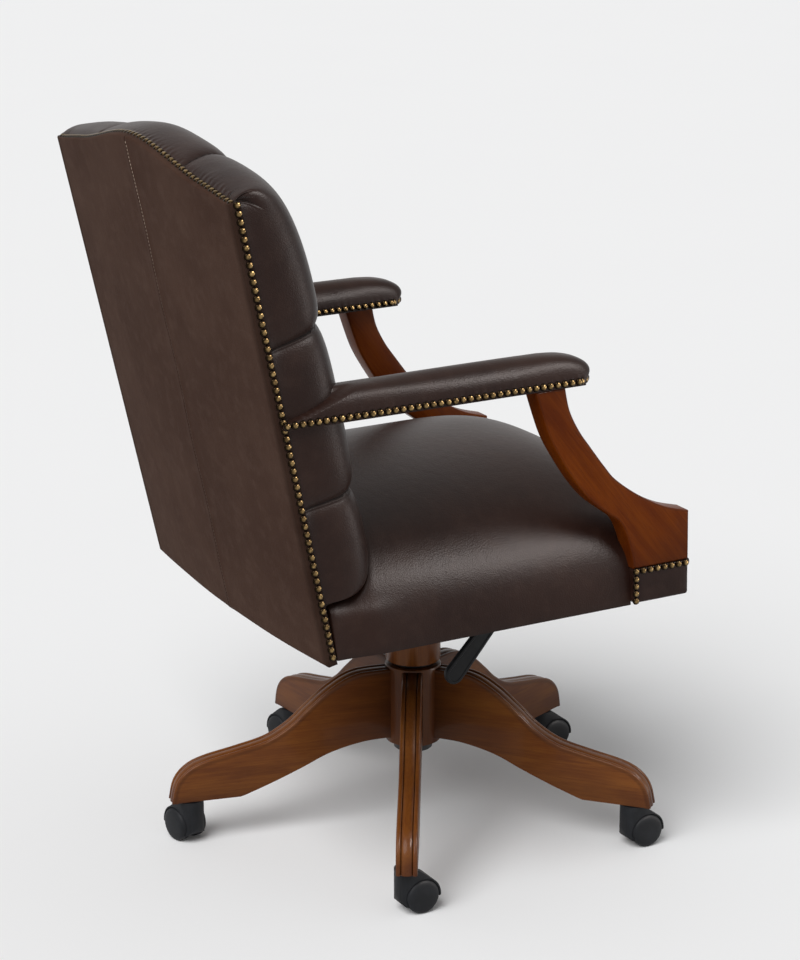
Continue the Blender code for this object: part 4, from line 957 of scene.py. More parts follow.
def seat_form(u, v):
    """Skin of the seat in the level frame: rolled at the sides and front, tucked under the pad behind."""
    place_x, height_x = rolled(u, SEAT_ACROSS)
    middle = (SEAT_TUCK + SEAT_FRONT) / 2
    front_place, front_height = rolled(np.minimum(v, 0.0), SEAT_NOSE)
    rear_share = np.clip(v / 0.985, 0.0, 1.0)
    rear_y = np.interp(rear_share, (0.0, 0.66, 0.86, 1.0),
                       (middle, SEAT_TUCK, SEAT_TUCK + 0.045, SEAT_REAR))
    y = np.where(v < 0, middle + front_place * (middle - SEAT_FRONT), rear_y)
    height_y = np.where(v < 0, front_height, np.where(v > 1 - 1e-6, 0.0, 1.0))
    x = np.abs(place_x) * SEAT_HALF
    dome = (SEAT_CROWN - SEAT_BOTTOM) * height_x * height_y ** (height_x ** 0.8)
    ledge = (TUCK_TOP - SEAT_BOTTOM) * np.clip(1 - np.abs(place_x) ** 12, 0.0, 1.0) ** (1 / 6) * height_y
    pad_round = np.clip(1 - np.minimum(x / PAD_HALF, 1.0) ** PAD_POWER, 0.0, 1.0) ** 0.182
    pad_face = SEAT_TUCK + PAD_DEPTH * (1 - pad_round)
    under = smooth_share((y - pad_face - 0.022) / 0.025)
    z = SEAT_BOTTOM + dome + (ledge - dome) * under
    square = np.clip(1 - np.abs(place_x) ** 26, 0.0, 1.0) ** 0.25
    shoulder = SEAT_BOTTOM + (TUCK_TOP - SEAT_BOTTOM) * square * height_y
    z = z + np.maximum(shoulder - z, 0.0) * smooth_share((y - 0.120) / 0.105)
    y = y + (rear_plane(z) - 0.0085 - SEAT_REAR) * smooth_share((rear_share - 0.86) / 0.14)
    return np.stack([place_x * SEAT_HALF * (1 - 0.019 * smooth_share((y - 0.19) / 0.06)), y, z], 1)


def support_edges():
    """Front and rear edges of the swept support as (y, z), top first, in the level frame."""
    top = ARM_BOTTOM - 0.0003
    front = ((-0.077, 0.0), (-0.0836, -0.031), (-0.0976, -0.060), (-0.1152, -0.0855), (-0.1382, -0.117),
             (-0.1558, -0.1375), (-0.1906, -0.1637), (-0.2318, -0.186), (-0.270, -0.1977))
    rear = ((-0.032, 0.0), (-0.0435, -0.0373), (-0.0551, -0.069), (-0.0732, -0.102), (-0.0957, -0.1363),
            (-0.1185, -0.163), (-0.1444, -0.1838), (-0.1616, -0.198), (-0.173, -0.2213), (-0.1815, -0.2516))
    return ([(y, top + z) for y, z in front], [(y, top + z) for y, z in rear])


def support_outline(per_span):
    front, rear = support_edges()
    low = BLOCK[2][1] + 0.0003
    return (curve_through(front, per_span) + [(BLOCK[1][0], low), (BLOCK[1][1], low)]
            + curve_through(rear, per_span)[::-1])


def build_seat():
    """Stuffed seat, with room cut out of its front corners for the arm supports and their blocks."""
    bm = grid_form(76, 96, seat_form)
    held = [1.0 if v.co.z < SEAT_BOTTOM + 0.012 or v.co.y > SEAT_TUCK + 0.004 else 0.0 for v in bm.verts]
    mesh = subdivided(inflated(bm, held, cap=0.006))
    cutters = []
    for side in (-1, 1):
        low, high = sorted((side * BLOCK[0][0], side * 0.40))
        cutters.append(mesh_of(swept(support_outline(2), low, high)))
        cutters.append(mesh_of(block((low, -0.40, 0.30), (high, BLOCK[1][1], BLOCK[2][1] + 0.001), 0.0)))
    mesh = carved(mesh, cutters)
    points = points_of(mesh)
    # Painted shade along the seat's lower edge.
    low_edge = np.exp(-np.clip(points[:, 2] - SEAT_BOTTOM, 0.0, 1.0) / 0.006)
    store(mesh, "fold", low_edge * 0.5)
    # Paler on the crown: partly wear, partly painted sheen from above.
    store(mesh, "rub", smooth_share((points[:, 2] - 0.50) / 0.05) * 0.35)
    mesh.transform(LEVEL)
    seat = kept_mesh("seat_leather", mesh, LEATHER, "seat", ("seat_cushion",), sharp=50)


# Arms

ARM_ACROSS = roll_table(ARM_HALF, ARM_CROWN - ARM_BOTTOM, 3.0)
# Side view of the arm's nose as (run from the front, height share), bottom first
ARM_NOSE_LINE = ((0.0120, 0.0), (0.0075, 0.06), (0.0045, 0.15), (0.0014, 0.28), (0.0, 0.42), (0.0022, 0.56),
                 (0.0090, 0.70), (0.0220, 0.84), (0.0420, 0.95), (0.0680, 1.0))
ARM_NOSE_PLAN = 0.017


def arm_form(u, v):
    """Skin of the padded arm about its own middle line: flat under, rolled over, with a rounded nose."""
    place_x, height_x = rolled(u, ARM_ACROSS)
    nose = np.array(curve_through(ARM_NOSE_LINE, 6))
    run = np.concatenate([[0.0], np.cumsum(np.hypot(np.diff(nose[:, 0]), np.diff(nose[:, 1]) * 0.043))])
    share = np.clip((v + 1) / 0.5, 0.0, 1.0)
    front = ARM_FRONT + np.interp(share, run / run[-1], nose[:, 0])
    height_y = np.interp(share, run / run[-1], nose[:, 1])
    z = ARM_BOTTOM + (ARM_CROWN - ARM_BOTTOM) * height_x * height_y
    z = np.where(v > 1 - 1e-6, ARM_BOTTOM, z)
    back = np.clip((v + 0.5) / 1.48, 0.0, 1.0)
    y = front + (rear_plane(z) - front) * back
    y = y + ARM_NOSE_PLAN * np.abs(place_x) ** 3.5 * (1 - smooth_share(share))
    narrow = 1 - 0.10 * np.clip(1 - height_y, 0.0, 1.0) ** 2
    slip = (z - ARM_BOTTOM - 0.006) / 0.036 - (rear_plane(z) - y) / 0.112
    tucked = 0.016 * smooth_share(slip / 0.10 + 0.5) * smooth_share((y - 0.18) / 0.01)
    x = place_x * ARM_HALF * narrow
    return np.stack([np.where(x > 0, x - tucked * place_x, x), y, z], 1)


def build_arm(side, word):
    """Padded arm with its support and corner block; side is -1 for the sitter's right."""
    bm = grid_form(40, 190, lambda u, v: arm_form(u * side, v) * (side, 1, 1))
    held = [1.0 if v.co.z < ARM_BOTTOM + 0.006 or v.co.y > 0.20 else 0.0 for v in bm.verts]
    mesh = subdivided(inflated(bm, held, cap=0.003))
    points = points_of(mesh)
    rise = points[:, 2] - ARM_BOTTOM
    edge = 0.22 * np.exp(-np.clip(rise - 0.010, 0.0, 1.0) / 0.004) * smooth_share((rise - 0.0005) / 0.003)
    store(mesh, "tack", np.stack([points[:, 1] / NAIL_PITCH, edge, edge * 0.0], 1), "FLOAT_VECTOR")
    # Paler along the arm's crown: partly wear, partly painted sheen.
    store(mesh, "rub", smooth_share((points[:, 2] - ARM_CROWN + 0.008) / 0.006) * 0.6)
    mesh.transform(LEVEL @ Matrix.Translation((side * ARM_MIDDLE, 0, 0)))
    pad = kept_mesh(f"arm_leather_{word}", mesh, LEATHER, "seat",
                    (f"arm_pad_{word}", f"arm_rail_{word}"), sharp=60)
    build_support(side, word)
    build_corner_block(side, word)


def build_support(side, word):
    """Swept mahogany support with softly rounded rims; the grain follows its diagonal."""
    near, far = sorted((side * BLOCK[0][0], side * BLOCK[0][1]))
    bm = swept(support_outline(6), near, far, 0.0032, 4)
    lie = Matrix(((0, -0.605, -0.796, 0), (1, 0, 0, 0), (0, 0.796, -0.605, 0), (0, 0, 0, 1)))
    grain_along(bm, lie)
    # Painted shade along the rims of both side faces.
    rim = []
    for vert in bm.verts:
        from_side = min(abs(vert.co.x - near), abs(vert.co.x - far))
        rim.append(0.30 * math.exp(-(from_side / 0.0015) ** 2) if from_side > 1e-5 else 0.0)
    set_layer(bm, "groove", rim)
    # Painted shade: darker at the foot by the block and at the top under the arm.
    foot = BLOCK[2][1]
    set_layer(bm, "tone", [0.55 * math.exp(-(v.co.z - foot) / 0.05)
                           + 0.35 * math.exp(-(ARM_BOTTOM - v.co.z) / 0.03) for v in bm.verts])
    kept(f"support_{word}", bm, SUPPORT_WOOD, "seat", (f"arm_support_{word}",), LEVEL, sharp=50)


def build_corner_block(side, word):
    """Leather-covered block at the seat's front corner."""
    near, far = sorted((side * BLOCK[0][0], side * BLOCK[0][1]))
    bm = block((near, BLOCK[1][0], BLOCK[2][0]), (far, BLOCK[1][1], BLOCK[2][1]), 0.004, 3)
    bmesh.ops.subdivide_edges(bm, edges=[e for e in bm.edges if e.calc_length() > 0.02], cuts=6,
                              use_grid_fill=True)
    kept(f"corner_leather_{word}", bm, LEATHER, "seat", (f"arm_block_{word}",), LEVEL, sharp=0)


# Nails

def nail_mesh():
    """A low dome along Z with a turned-in rim, and its crown stored for the finish."""
    bm = bmesh.new()
    bmesh.ops.create_uvsphere(bm, u_segments=10, v_segments=8, radius=NAIL_RADIUS)
    bmesh.ops.bisect_plane(bm, geom=bm.verts[:] + bm.edges[:] + bm.faces[:], plane_co=(0, 0, -0.0004),
                           plane_no=(0, 0, 1), clear_inner=True)
    bmesh.ops.holes_fill(bm, edges=[e for e in bm.edges if e.is_boundary])
    bmesh.ops.scale(bm, vec=(1, 1, NAIL_FLATNESS), verts=bm.verts)
    set_layer(bm, "crown", [max(v.co.z, 0.0) / (NAIL_RADIUS * NAIL_FLATNESS) for v in bm.verts])
    return as_mesh(bm, "nail")


def nailed(name, rows, matrix):
    """A piece of nails: each row is a line of points and the way that its nails face."""
    nail = nail_mesh()
    bm = bmesh.new()
    bm.verts.layers.float.new("crown")
    for line, facing in rows:
        for spot, way in walked(line, NAIL_PITCH):
            out = facing(spot, way) if callable(facing) else Vector(facing)
            turn = out.to_track_quat("Z", "Y").to_matrix().to_4x4()
            add_copy(bm, nail, Matrix.Translation(spot) @ turn)
    kept(name, bm, BRASS, "seat", matrix=matrix, sharp=0, recalc=False)


def build_nails():
    """Nails down the back's sides and over its top, then round the arms and on the corner blocks."""
    rows = []
    for side in (-1, 1):
        line = [(side * (back_half(z) - 0.0002), -0.0098, z) for z in np.linspace(0.6275, 0.012, 40)]
        rows.append((line, (side, 0.0, 0.0)))
    top = [(x, -0.0062, float(camel_top(x)) - 0.0012) for x in np.linspace(-0.2885, 0.2885, 80)]
    rows.append((top, lambda spot, way: Vector((-way.z, 0.0, way.x))))
    nailed("back_nails", rows, RAKED)
    height = ARM_BOTTOM + 0.0062
    outer, inner = ARM_MIDDLE + ARM_HALF + 0.0002, ARM_MIDDLE - ARM_HALF - 0.0002
    front = ARM_FRONT + 0.0040
    start = front + ARM_NOSE_PLAN + 0.005
    rear = rear_plane(height) - 0.004
    (block_in, block_out), (block_front, block_rear), (block_low, block_high) = BLOCK
    block_top, block_end, proud = block_high - 0.0035, block_rear - 0.003, block_front - 0.0002
    rows = []
    for side in (-1, 1):
        rows.append(([(side * outer, start, height), (side * outer, rear, height)], (side, 0, 0)))
        rows.append(([(side * inner, start, height), (side * inner, rear - 0.105, height)], (-side, 0, 0)))
        curve = []
        for step in range(41):
            share = math.sin(math.radians(90 * (step - 20) / 20))
            curve.append((side * ARM_MIDDLE + share * ARM_HALF * 0.965,
                          front + ARM_NOSE_PLAN * abs(share) ** 3.5, height))
        rows.append((curve, lambda spot, way: Vector((way.y, -way.x, 0.0))))
        face = side * (block_out + 0.0002)
        rows.append(([(face, block_front + 0.005, block_top), (face, block_end, block_top)], (side, 0, 0)))
        rows.append(([(face, block_end, block_top - NAIL_PITCH), (face, block_end, block_low + 0.004)],
                     (side, 0, 0)))
        rows.append(([(side * (block_in + 0.006), proud, block_top),
                      (side * (block_out - 0.006), proud, block_top)], (0, -1, 0)))
    nailed("arm_nails", rows, LEVEL)


# Base

LEG_ANGLES = [151.2 + 72 * index for index in range(5)]
BASE_RADIUS = 0.354
HUB_RADIUS = 0.0405
HUB_LOW, HUB_HIGH = 0.119, 0.236
FOOT_BOTTOM = 0.063
LEG_WIDTH = 0.0294
LEG_HIGH, LEG_LOW = 0.2272, 0.128
SIDE_REED = 0.0070
REED_CROWN = 0.0046
LEG_CURVE = ((0.0, 1.0), (0.15, 0.985), (0.262, 0.882), (0.37, 0.717), (0.452, 0.579), (0.56, 0.462),
             (0.70, 0.395), (0.85, 0.335), (0.93, 0.27), (0.98, 0.16), (1.0, 0.0))
UNDER_CURVE = ((0.0, 1.0), (0.18, 0.97), (0.40, 0.80), (0.60, 0.51), (0.80, 0.24), (1.0, 0.0))
FOOT_FLAT = 0.096


def even_line(line, count):
    """The line with count points, evenly spaced along it."""
    points = np.array(line)
    run = np.concatenate([[0.0], np.cumsum(np.linalg.norm(np.diff(points, axis=0), axis=1))])
    goal = np.linspace(0.0, run[-1], count)
    return np.stack([np.interp(goal, run, points[:, 0]), np.interp(goal, run, points[:, 1])], 1)


def reed_section():
    """(across, up, painted shade) over the leg's top: side reed, broad middle reed, side reed."""
    half = LEG_WIDTH / 2
    inner = half - SIDE_REED
    section = [(-half, -0.0035, 0.0), (-half, 0.0, 0.35)]
    for low, high in ((-half, -inner), (-inner, inner), (inner, half)):
        middle, reach = (low + high) / 2, (high - low) / 2
        for step in range(1, 9):
            angle = math.pi * step / 8
            up = REED_CROWN * math.sin(angle) ** 0.62 if step < 8 else 0.0
            # Painted shade in and beside the valleys between reeds.
            groove = 1.0 if step == 8 else 0.25 if step in (1, 7) else 0.0
            section.append((middle - reach * math.cos(angle), up, groove))
    section[-1] = (half, 0.0, 0.35)
    section.append((half, -0.0035, 0.0))
    return section


def leg_mesh():
    """One leg along +X: the section is extruded along the top line, and the reeds wrap round the toe."""
    hub_end = HUB_RADIUS - 0.0079
    stations = 56

    def edge(curve, reach, high):
        """Side view of one edge, from inside the hub out to a radius."""
        shaped = [(HUB_RADIUS + (reach - HUB_RADIUS) * a, FOOT_BOTTOM + (high - FOOT_BOTTOM) * b)
                  for a, b in curve]
        return [(hub_end, high)] + curve_through(shaped, 8)

    run = BASE_RADIUS - HUB_RADIUS
    top = even_line(edge(LEG_CURVE, BASE_RADIUS, LEG_HIGH), stations)
    under = edge(UNDER_CURVE, BASE_RADIUS - FOOT_FLAT, LEG_LOW) + [(BASE_RADIUS - REED_CROWN, FOOT_BOTTOM)]
    under = even_line(under, stations)
    section = reed_section()
    half = LEG_WIDTH / 2
    bm = bmesh.new()
    layer = bm.verts.layers.float.new("groove")
    loop = [bm.verts.new((0, across, 0)) for across, up, dark in section]
    loop += [bm.verts.new((0, side, 0)) for side in (half, half * 0.4, -half * 0.4, -half)]
    edges = [bm.edges.new(pair) for pair in zip(loop, loop[1:] + loop[:1])]
    # Painted shade at the corners of the leg's underside.
    grooves = [dark for across, up, dark in section] + [0.25, 0.0, 0.0, 0.25]

    def shaped(ring, index):
        before, after = top[max(index - 1, 0)], top[min(index + 1, stations - 1)]
        along = Vector(after - before).normalized()
        normal = Vector((1.0, 0.0)) if index == stations - 1 else Vector((-along.y, along.x))
        for vert, (across, up, dark) in zip(ring, section):
            vert.co = (top[index][0] + normal.x * up, across, top[index][1] + normal.y * up)
        for vert in ring[len(section):]:
            lift = 0.0006 if abs(vert.co.y) > half * 0.9 else 0.0
            vert.co = (under[index][0], vert.co.y, under[index][1] + lift)
        for vert, dark in zip(ring, grooves):
            vert[layer] = dark

    shaped(loop, 0)
    bmesh.ops.edgeloop_fill(bm, edges=edges)
    for index in range(1, stations):
        pushed = bmesh.ops.extrude_edge_only(bm, edges=edges)["geom"]
        edges = of_kind(pushed, EDGE)
        fresh = set(of_kind(pushed, VERT))
        ring = [next(e.other_vert(v) for e in v.link_edges if e.other_vert(v) in fresh) for v in loop]
        for old, new in zip(loop, ring):
            new.co.y = old.co.y
        shaped(ring, index)
        loop = ring
    bmesh.ops.edgeloop_fill(bm, edges=edges)
    grain_along(bm)
    # Toning: darker near the hub, partly staining and partly painted shade by its slot; darker also at the
    # toe and towards the underside.
    tone = []
    for vert in bm.verts:
        share = (vert.co.x - HUB_RADIUS) / run
        tone.append(min(1.0, 0.75 * math.exp(-share / 0.16) + 0.35 * math.exp(-(1 - share) / 0.05)
                        + 0.30 * math.exp(-max(vert.co.z - FOOT_BOTTOM, 0.0) / 0.012)))
    set_layer(bm, "tone", tone)
    return mesh_of(bm)


def build_base():
    """Legs, hub, sleeve and the gas strut's pieces about the column's axis."""
    leg = leg_mesh()
    for number, angle in enumerate(LEG_ANGLES, 1):
        mesh = leg.copy()
        mesh.transform(turned_by(angle, "Z"))
        kept_mesh(f"leg_{number}", mesh, MAHOGANY, "base", (f"base_leg_{number}",), sharp=38)
    build_hub()
    low, high = 0.2411, 0.3177
    radius, inner = 0.0395, 0.030
    bm = spun([(inner, low), (radius - 0.0025, low), (radius - 0.0007, low + 0.0007), (radius, low + 0.0025),
               (radius, high - 0.0015), (radius - 0.0015, high), (inner, high)], 96, closed=True)
    grain_along(bm, Matrix(((0, 0, 1, 0), (1, 0, 0, 0), (0, 1, 0, 0), (0, 0, 0, 1))))
    set_layer(bm, "tone", [0.45] * len(bm.verts))
    kept("turned_sleeve", bm, MAHOGANY, "swivel", ("column_sleeve",), sharp=30)
    low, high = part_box("column_collar")[0].z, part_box("column_collar")[1].z
    bm = spun([(0.0254, low), (0.0300, low), (0.0311, low + 0.0010), (0.0311, high - 0.0010), (0.0300, high),
               (0.0254, high)], 72, closed=True)
    kept("collar_ring", bm, BLACK_PLASTIC, "base", ("column_collar",), sharp=30)
    low = 0.107
    bm = spun([(0.0253, low), (0.0268, low), (0.0278, low + 0.001), (0.0278, 0.2355), (0.0253, 0.2355)], 64,
              closed=True)
    kept("strut_socket", bm, BLACK_STEEL, "base", ("tube_socket",), sharp=30)
    bm = spun([(0.0, low), (0.0235, low), (0.0250, low + 0.0015), (0.0250, 0.2975), (0.0235, 0.2990),
               (0.0145, 0.2990), (0.0145, 0.119), (0.0, 0.119)], 64)
    kept("strut_tube", bm, BLACK_STEEL, "base", ("gas_tube",), sharp=30)
    bm = spun([(0.0, 0.1195), (0.014, 0.1195), (0.014, 0.3475), (0.0130, 0.3480), (0.0, 0.3480)], 48)
    kept("strut_rod", bm, STEEL, "lift", ("gas_piston",), sharp=30)


def build_hub():
    """Turned hub with a round-topped slot for each leg."""
    bore = 0.0281
    hub = spun([(bore, HUB_LOW), (HUB_RADIUS - 0.004, HUB_LOW), (HUB_RADIUS - 0.0012, HUB_LOW + 0.0012),
                (HUB_RADIUS, HUB_LOW + 0.004), (HUB_RADIUS, HUB_HIGH - 0.003),
                (HUB_RADIUS - 0.0009, HUB_HIGH - 0.0009), (HUB_RADIUS - 0.003, HUB_HIGH), (bore, HUB_HIGH)],
               100, closed=True)
    cutters = []
    for angle in LEG_ANGLES:
        slot = block((HUB_RADIUS - 0.0082, -LEG_WIDTH / 2 - 0.0004, LEG_LOW - 0.0006),
                     (HUB_RADIUS + 0.02, LEG_WIDTH / 2 + 0.0004, LEG_HIGH + REED_CROWN + 0.0006), 0.0)
        tops = [e for e in slot.edges if all(v.co.z > LEG_HIGH for v in e.verts)
                and abs(e.verts[0].co.y - e.verts[1].co.y) < 1e-6]
        eased(slot, tops, 0.004, 4, clamp=False)
        cutter = mesh_of(slot)
        cutter.transform(turned_by(angle, "Z"))
        cutters.append(cutter)
    mesh = carved(mesh_of(hub), cutters)
    points = points_of(mesh)
    store(mesh, "grain", np.stack([points[:, 2], points[:, 0], points[:, 1]], 1), "FLOAT_VECTOR")
    radius = np.hypot(points[:, 0], points[:, 1])
    # Painted shade inside the slots and the bore.
    store(mesh, "groove", np.where(radius < HUB_RADIUS - 0.006, 0.9, 0.0))
    store(mesh, "tone", np.full(len(points), 0.72))
    kept_mesh("turned_hub", mesh, MAHOGANY, "base", ("base_hub",), sharp=30)


# Casters, with the stem on Z and the wheels trailing along +X

WHEEL_RADIUS = 0.0240
WHEEL_TRAIL = 0.0150
WHEEL_WIDTH = 0.0150
WEB_HALF = 0.0065
HOOD_HALF = 0.0185
STEM_BLOCK = 0.0175
CASTER_YAWS = (-88.0, -88.0, -88.0, 13.0, 13.0)


def hood_mesh():
    """Hooded caster body: rounded stem block, roof over the treads and the web that carries the axle."""
    hood = WHEEL_RADIUS + 0.0029
    top = FOOT_BOTTOM - 0.0006
    outline = [(-STEM_BLOCK, 0.036), (-STEM_BLOCK * 0.99, 0.028), (-STEM_BLOCK * 0.93, 0.0215),
               (-STEM_BLOCK * 0.78, 0.0160), (-STEM_BLOCK * 0.54, 0.0122), (-STEM_BLOCK * 0.2, 0.0103),
               (WHEEL_TRAIL, 0.0100)]
    for step in range(22):
        angle = math.radians(-5 + 70 * step / 21)
        outline.append((WHEEL_TRAIL + hood * math.cos(angle), WHEEL_RADIUS + hood * math.sin(angle)))
    outline += [(STEM_BLOCK * 0.75, top - 0.0035), (STEM_BLOCK * 0.45, top), (-STEM_BLOCK, top)]
    bm = swept(outline, -HOOD_HALF, HOOD_HALF)
    bmesh.ops.rotate(bm, cent=(0, 0, 0), matrix=Matrix.Rotation(math.radians(-90), 3, "Z"), verts=bm.verts)
    front = [(-STEM_BLOCK * math.sin(math.pi * step / 24), -HOOD_HALF * math.cos(math.pi * step / 24))
             for step in range(25)]
    rim = front + [(0.08, HOOD_HALF), (0.08, -HOOD_HALF)]
    plan = pushed_out([(x, y, -0.01) for x, y in rim], (0, 0, 0.1))
    rounded = carved(mesh_of(bm), [mesh_of(plan)], "INTERSECT")
    hole = WHEEL_RADIUS + 0.0006
    middle = Matrix.Translation((WHEEL_TRAIL, 0, WHEEL_RADIUS))
    wells = [mesh_of(spun([(0.0, WEB_HALF), (hole, WEB_HALF), (hole, 0.05), (0.0, 0.05)], 56),
                     middle @ turned_by(-90 * side, "X")) for side in (-1, 1)]
    mesh = carved(rounded, wells)
    bm = bmesh.new()
    bm.from_mesh(mesh)
    rims = [e for e in bm.edges if len(e.link_faces) == 2 and e.calc_face_angle(0) > math.radians(50)
            and abs(e.verts[0].co.y) > WEB_HALF * 1.5 and abs(e.verts[1].co.y) > WEB_HALF * 1.5]
    eased(bm, rims, 0.0007, 2)
    stem = spun([(0.0, top - 0.003), (0.0090, top - 0.003), (0.0090, top + 0.0002), (0.0055, top + 0.0002),
                 (0.0055, FOOT_BOTTOM + 0.0255), (0.0, FOOT_BOTTOM + 0.0260)], 24)
    axle_half = WEB_HALF + WHEEL_WIDTH - 0.0032
    axle = spun([(0.0, -axle_half), (0.004, -axle_half), (0.004, axle_half), (0.0, axle_half)], 20)
    add_copy(bm, mesh_of(stem))
    add_copy(bm, mesh_of(axle, middle @ turned_by(90, "X")))
    return mesh_of(bm)


def wheel_mesh():
    """Wheel along +Z from its inner face: blind bore, tread with eased shoulders, slightly domed disc."""
    r, w = WHEEL_RADIUS, WHEEL_WIDTH
    bm = spun([(0.0, w - 0.0028), (0.0045, w - 0.0028), (0.0045, 0.0), (r - 0.0012, 0.0), (r, 0.0012),
               (r, w - 0.0052), (r - 0.0006, w - 0.0034), (r - 0.0019, w - 0.0019), (r - 0.0038, w - 0.0008),
               (r - 0.0065, w - 0.0001), (r * 0.5, w + 0.0004), (0.0, w + 0.0006)], 56)
    return mesh_of(bm)


def build_casters():
    hood, wheel = hood_mesh(), wheel_mesh()
    reach = BASE_RADIUS - 0.025
    for number, (degrees, yaw) in enumerate(zip(LEG_ANGLES, CASTER_YAWS), 1):
        angle = math.radians(degrees)
        foot = (reach * math.cos(angle), reach * math.sin(angle), 0)
        place = Matrix.Translation(foot) @ turned_by(yaw, "Z")
        mesh = hood.copy()
        mesh.transform(place)
        kept_mesh(f"caster_hood_{number}", mesh, CASTER_PLASTIC, f"caster_{number}",
                  (f"caster_housing_{number}",), sharp=35)
        for side, word in ((-1, "right"), (1, "left")):
            mesh = wheel.copy()
            inner_face = Matrix.Translation((WHEEL_TRAIL, side * (WEB_HALF + 0.0005), WHEEL_RADIUS))
            mesh.transform(place @ inner_face @ turned_by(-90 * side, "X"))
            name = f"wheel_{number}_{word}"
            kept_mesh(name, mesh, CASTER_PLASTIC, name, (f"caster_{name}",), sharp=30)


# Mechanism

LEVER_Y, LEVER_Z = -0.032, 0.3365
LEVER_REACH = 0.165
# Solids that are shown as they are
SOLID_FINISHES = (
    (BLACK_STEEL, ("mechanism_housing", "seat_plate")),
    (STEEL, ("tilt_pin", "tension_bolt", "tension_spring")),
    (BLACK_PLASTIC, ("tension_knob",)),
    (LINING, ("dust_cover", "seat_webbing")),
    (LEATHER, ("back_stile_left", "back_stile_right", "back_bottom_rail")),
    (BEECH, ("seat_rail_front", "seat_rail_back", "seat_rail_left", "seat_rail_right", "seat_board",
             "back_top_rail")))


def paddle_outline(steps):
    """Side view of the lever's paddle as (y, z): a boss on the rod and a broader tip."""
    run = Vector((0.054, -0.062))
    boss, tip = 0.012, 0.0145
    lean = math.atan2(run.y, run.x)
    spread = math.acos((boss - tip) / run.length)
    outline = []
    for centre, radius, first, last in (
            (Vector((LEVER_Y, LEVER_Z)), boss, lean + spread, lean + math.tau - spread),
            (Vector((LEVER_Y, LEVER_Z)) + run, tip, lean - spread, lean + spread)):
        for step in range(steps):
            angle = first + (last - first) * step / (steps - 1)
            outline.append((centre.x + radius * math.cos(angle), centre.y + radius * math.sin(angle)))
    return outline


def build_mechanism():
    """The lift lever, and the finishes of the solids that are shown as they are."""
    bm = swept(paddle_outline(22), -LEVER_REACH - 0.004, -LEVER_REACH + 0.004, 0.0020, 3)
    face = [f for f in bm.faces if f.normal.x < -0.95 and f.calc_area() > 1e-4]
    bmesh.ops.inset_region(bm, faces=face, thickness=0.0022, depth=0.0)
    bmesh.ops.inset_region(bm, faces=face, thickness=0.0006, depth=-0.0007)
    kept("lift_paddle", bm, BLACK_PLASTIC, "lever", ("lever_paddle",), sharp=35)
    length = LEVER_REACH - 0.0043 - 0.033
    bar = spun([(0.0, 0.0), (0.0046, 0.0), (0.005, 0.0006), (0.005, length - 0.0004), (0.0, length)], 28)
    bmesh.ops.transform(bar, matrix=Matrix.Translation((-0.033, LEVER_Y, LEVER_Z)) @ turned_by(-90, "Y"),
                        verts=bar.verts)
    pin = spun([(0.0, -0.0097), (0.003, -0.0097), (0.003, 0.0097), (0.0, 0.0097)], 16)
    add_copy(bar, mesh_of(pin, Matrix.Translation((-0.036, LEVER_Y, LEVER_Z)) @ turned_by(90, "X")))
    kept("lift_rod", bar, BLACK_STEEL, "lever", ("lever_rod",), sharp=35)
    for finish, nodes in SOLID_FINISHES:
        for node in nodes:
            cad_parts[node].data.materials.clear()
            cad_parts[node].data.materials.append(finish)


# Studio

FLOOR_SHADE = 0.855
SKY_LIGHT = 0.40
# Name, place, width, height and power of each lamp that gives sheen alone
SOFTBOXES = (("top_softbox", (-1.75, -1.25, 2.1), 1.3, 0.7, 85.0),
             ("front_softbox", (-1.4, -2.1, 0.45), 0.8, 0.9, 15.0))


def floor_paint(shade):
    """Pale seamless floor with the least unevenness."""
    cloud = object_place(shade).noise(1.5, 2.0)
    return {"Base_Color": cloud.mix(rgb(0.872, 0.874, 0.878), rgb(0.880, 0.882, 0.886)),
            "Roughness": 0.85 + cloud * 0.1}


def one_sided(material):
    """The finish from above, and nothing from below, so that the underside can be looked at."""
    tree = material.node_tree
    shade = Shade(tree)
    above = Shade(tree, tree.nodes["Principled BSDF"].outputs[0])
    below = shade.node("NewGeometry", out=6)
    surface = shade.node("MixShader", _0=below, _1=above, _2=shade.node("BsdfTransparent"))
    tree.links.new(surface.socket, tree.nodes["Material Output"].inputs["Surface"])
    return material


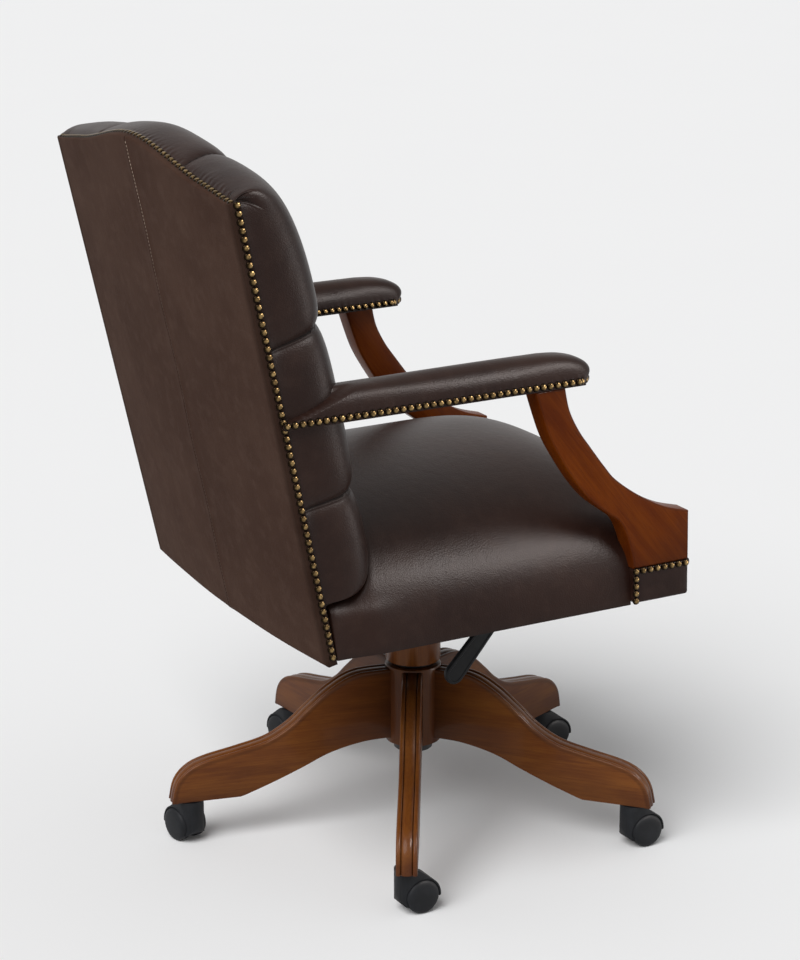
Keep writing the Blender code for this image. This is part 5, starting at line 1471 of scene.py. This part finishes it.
def build_studio():
    """Pale floor and surround, a broad key from the picture's left, and two softboxes for the sheen."""
    bm = bmesh.new()
    bmesh.ops.create_grid(bm, x_segments=4, y_segments=4, size=60.0)
    mesh = mesh_of(bm)
    mesh.materials.append(one_sided(finish_of("studio_floor", floor_paint, Specular_IOR_Level=0.0)))
    placed("studio_floor", mesh)
    world = bpy.data.worlds.new("studio")
    bpy.context.scene.world = world
    world.use_nodes = True
    sky = world.node_tree.nodes["Background"]
    shade = Shade(world.node_tree)
    seen = shade.node("LightPath")
    seen = (seen + seen.other("Is Transmission Ray") + seen.other("Is Glossy Ray")).math("MINIMUM", 1.0)
    world.node_tree.links.new((seen * (FLOOR_SHADE - SKY_LIGHT) + SKY_LIGHT).socket, sky.inputs["Strength"])
    sky.inputs["Color"].default_value = rgb(1.0, 1.0, 1.0)
    sun = bpy.data.lights.new("key_light", "SUN")
    sun.energy = 2.46
    sun.angle = math.radians(42)
    aimed(placed("key_light", sun), Vector((0.42, -0.72, -0.95)))
    for name, place, width, height, power in SOFTBOXES:
        data = bpy.data.lights.new(name, "AREA")
        data.shape = "RECTANGLE"
        data.size = width
        data.size_y = height
        data.energy = power
        data.color = (1.0, 0.94, 0.91)
        lamp = placed(name, data)
        lamp.location = place
        aimed(lamp, Vector((0, 0, 0.5)) - Vector(place))
        lamp.visible_camera = False
        lamp.visible_diffuse = False
    bpy.context.scene.view_settings.view_transform = "Standard"


def build_camera():
    """The photograph's own view: 800 by 960, fitted to the chair's mirrored pairs."""
    focal, width, height, middle = 2709.2, 800.0, 960.0, 413.02
    data = bpy.data.cameras.new("photo_camera")
    data.sensor_width = 36.0
    data.lens = focal * data.sensor_width / height
    data.shift_x = -(middle - width / 2) / height
    camera = placed("photo_camera", data)
    camera.location = Vector((-3.24968, 1.68689, 1.56735))
    aimed(camera, Vector((0, 0, 0.5064)) - camera.location)
    bpy.context.scene.camera = camera


build_camera()
build_studio()
build_base()
build_casters()
build_mechanism()
build_seat()
build_back_panel()
build_back_pad()
build_arm(-1, "right")
build_arm(1, "left")
build_nails()
